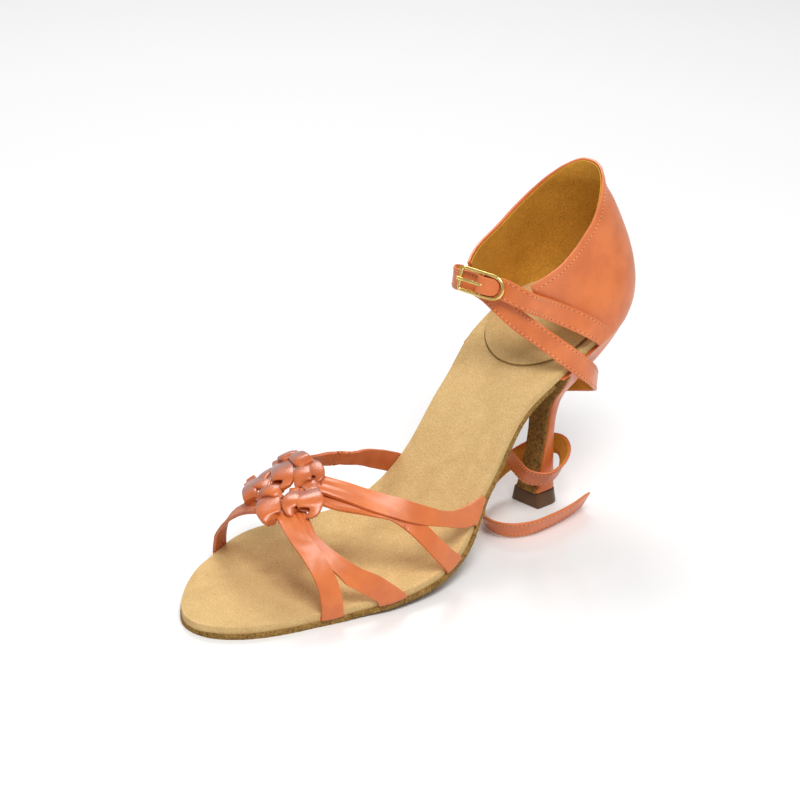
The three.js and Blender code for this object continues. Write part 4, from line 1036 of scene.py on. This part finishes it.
# Columns: along, out, direction of the outer face, width
tab_rows = [(-2, -LAYER_OUT, 180, TAB_WIDTH), (-0.4, -LAYER_OUT, 180, TAB_WIDTH),
            (0.72 * LAYER_OUT, -0.72 * LAYER_OUT, 135, TAB_WIDTH), (LAYER_OUT, 0, 90, TAB_WIDTH),
            (0.72 * LAYER_OUT, 0.72 * LAYER_OUT, 45, TAB_WIDTH), (0, LAYER_OUT, 0, TAB_WIDTH),
            (-0.3 * TAB_LENGTH, 0.8 * LAYER_OUT, 0, TAB_WIDTH),
            (-0.6 * TAB_LENGTH, 0.1 * LAYER_OUT, 0, TAB_WIDTH),
            (-0.85 * TAB_LENGTH, -0.28 * LAYER_OUT, 0, 0.78 * TAB_WIDTH),
            (-TAB_LENGTH, -0.32 * LAYER_OUT, 0, 0.4 * TAB_WIDTH)]
tab_path = smooth_line([Vector((along, out, math.radians(face) / 10)) for along, out, face, _ in tab_rows])
tab_width_at = follow([(i / (len(tab_rows) - 1), row[3]) for i, row in enumerate(tab_rows)], 1)


def tab_place(u, v):
    at = tab_path(v)
    return on_buckle(at.x, tab_width_at(v) * (u - 0.5), at.y)


tab = finished(laid_grid("buckle_tab", 10, 60, tab_place, (7, 16)), 1.0, edge=0.35)
belongs(tab, satin, "satin")

gold, gold_tree, gold_skin = new_material("gold plate", Metallic=1.0)
gold_place = add_node(gold_tree, "ShaderNodeTexCoord").outputs["Object"]
gold_wear = add_node(gold_tree, "ShaderNodeTexNoise", [(gold_place, "Vector")],
                     Scale=700.0, Detail=3.0).outputs[0]
gold_tones = add_node(gold_tree, "ShaderNodeValToRGB", [(gold_wear, "Fac")])
gold_tones.color_ramp.elements[0].color = (0.74, 0.53, 0.16, 1)
gold_tones.color_ramp.elements[1].color = (0.90, 0.72, 0.28, 1)
gold_rough = add_node(gold_tree, "ShaderNodeMapRange", [(gold_wear, "Value")], To_Min=0.12, To_Max=0.26)
gold_tree.links.new(gold_tones.outputs["Color"], gold_skin.inputs["Base Color"])
gold_tree.links.new(gold_rough.outputs["Result"], gold_skin.inputs["Roughness"])


def wire_place(middle_at, radius_at, ring):
    """A round wire along a line of places in the buckle's (along, rise, out)."""
    def place(u, v):
        steps = [v, v + 0.004, v - 0.004]
        here, ahead, behind = [middle_at(at % 1 if ring else min(max(at, 0), 1)) for at in steps]
        along = (on_buckle(*ahead) - on_buckle(*behind)).normalized()
        out = buckle_facing - along * buckle_facing.dot(along)
        out = out.normalized() if out.length > 0.2 else buckle_along
        side = along.cross(out)
        a = 2 * math.pi * u
        radius = radius_at(v)
        return on_buckle(*here) + out * radius * math.cos(a) + side * radius * math.sin(a)
    return place


def corner_arc(x, y, radius, first, step, count):
    """Points on an arc about (x, y), from a first angle by equal steps, in degrees."""
    turns = [math.radians(first + step * i) for i in range(count)]
    return [(x + radius * math.cos(turn), y + radius * math.sin(turn)) for turn in turns]


half, square = (BUCKLE_WIDTH - BUCKLE_WIRE) / 2, (BUCKLE_LENGTH - BUCKLE_WIRE) / 2
near = BUCKLE_CORNER
buckle_line = (corner_arc(square - near, half - near, near, 90, -15, 7)
               + corner_arc(square - near, near - half, near, 0, -15, 7)
               + corner_arc(half - square, 0, half, -90, -7.5, 25))
buckle_line.append(buckle_line[0])
buckle_frame = closed_tube(laid_grid("buckle_frame_gold", 16, 120, wire_place(
    lambda v: (*along_line(buckle_line, v), 0), lambda v: BUCKLE_WIRE / 2, True)))
finished(buckle_frame)
belongs(buckle_frame, gold, "gold", "buckle_frame")
buckle_bar = capped_tube(laid_grid("buckle_bar_gold", 16, 8, wire_place(
    lambda v: (0, mix(-half, half, v), 0), lambda v: BAR_RADIUS, False)))
finished(buckle_bar)
belongs(buckle_bar, gold, "gold")
hook = BAR_RADIUS + GAP + PRONG_RADIUS
prong_rest = BUCKLE_WIRE / 2 + GAP + PRONG_RADIUS
prong_points = corner_arc(0, 0, hook, -20, -30, 9) + [
    (0.45 * square, 0.94 * hook), (0.8 * square, prong_rest), (square + 0.9, prong_rest - 0.1)]
prong_line = smooth_line([Vector((along, 0, out)) for along, out in prong_points])
prong = capped_tube(laid_grid("buckle_prong_gold", 14, 80, wire_place(
    prong_line, lambda v: PRONG_RADIUS, False)))
finished(prong)
belongs(prong, gold, "gold", "buckle_prong")

# The studio: a pale floor, one large soft light above and in front, and a weaker one behind on the left.
bpy.ops.object.select_all(action="DESELECT")
bpy.ops.mesh.primitive_grid_add(x_subdivisions=2, y_subdivisions=2, size=30, location=(0, 0, 0))
floor = bpy.context.object
floor.name = floor.data.name = "floor"
floor_paint, _, _ = new_material("floor paint", Base_Color=(0.93, 0.93, 0.93, 1), Roughness=0.12)
floor.data.materials.append(floor_paint)

world = bpy.data.worlds.new("studio")
bpy.context.scene.world = world
world.use_nodes = True
world.node_tree.nodes["Background"].inputs["Color"].default_value = (1, 1, 1, 1)
world.node_tree.nodes["Background"].inputs["Strength"].default_value = 0.45
bpy.context.scene.view_settings.view_transform = "Standard"
# Columns: name, place in metres, size in metres, watts
light_rows = [("key_light", (0.75, -0.45, 1.35), 0.7, 18), ("back_light", (-0.9, 0.5, 1.2), 0.6, 10)]
lit_place = Vector((0, -0.06, 0.05))
for name, place, size, power in light_rows:
    light = bpy.data.objects.new(name, bpy.data.lights.new(name, "AREA"))
    light.data.size = size
    light.data.energy = power
    light.location = place
    light.rotation_euler = (lit_place - Vector(place)).to_track_quat("-Z", "Y").to_euler()
    bpy.context.scene.collection.objects.link(light)
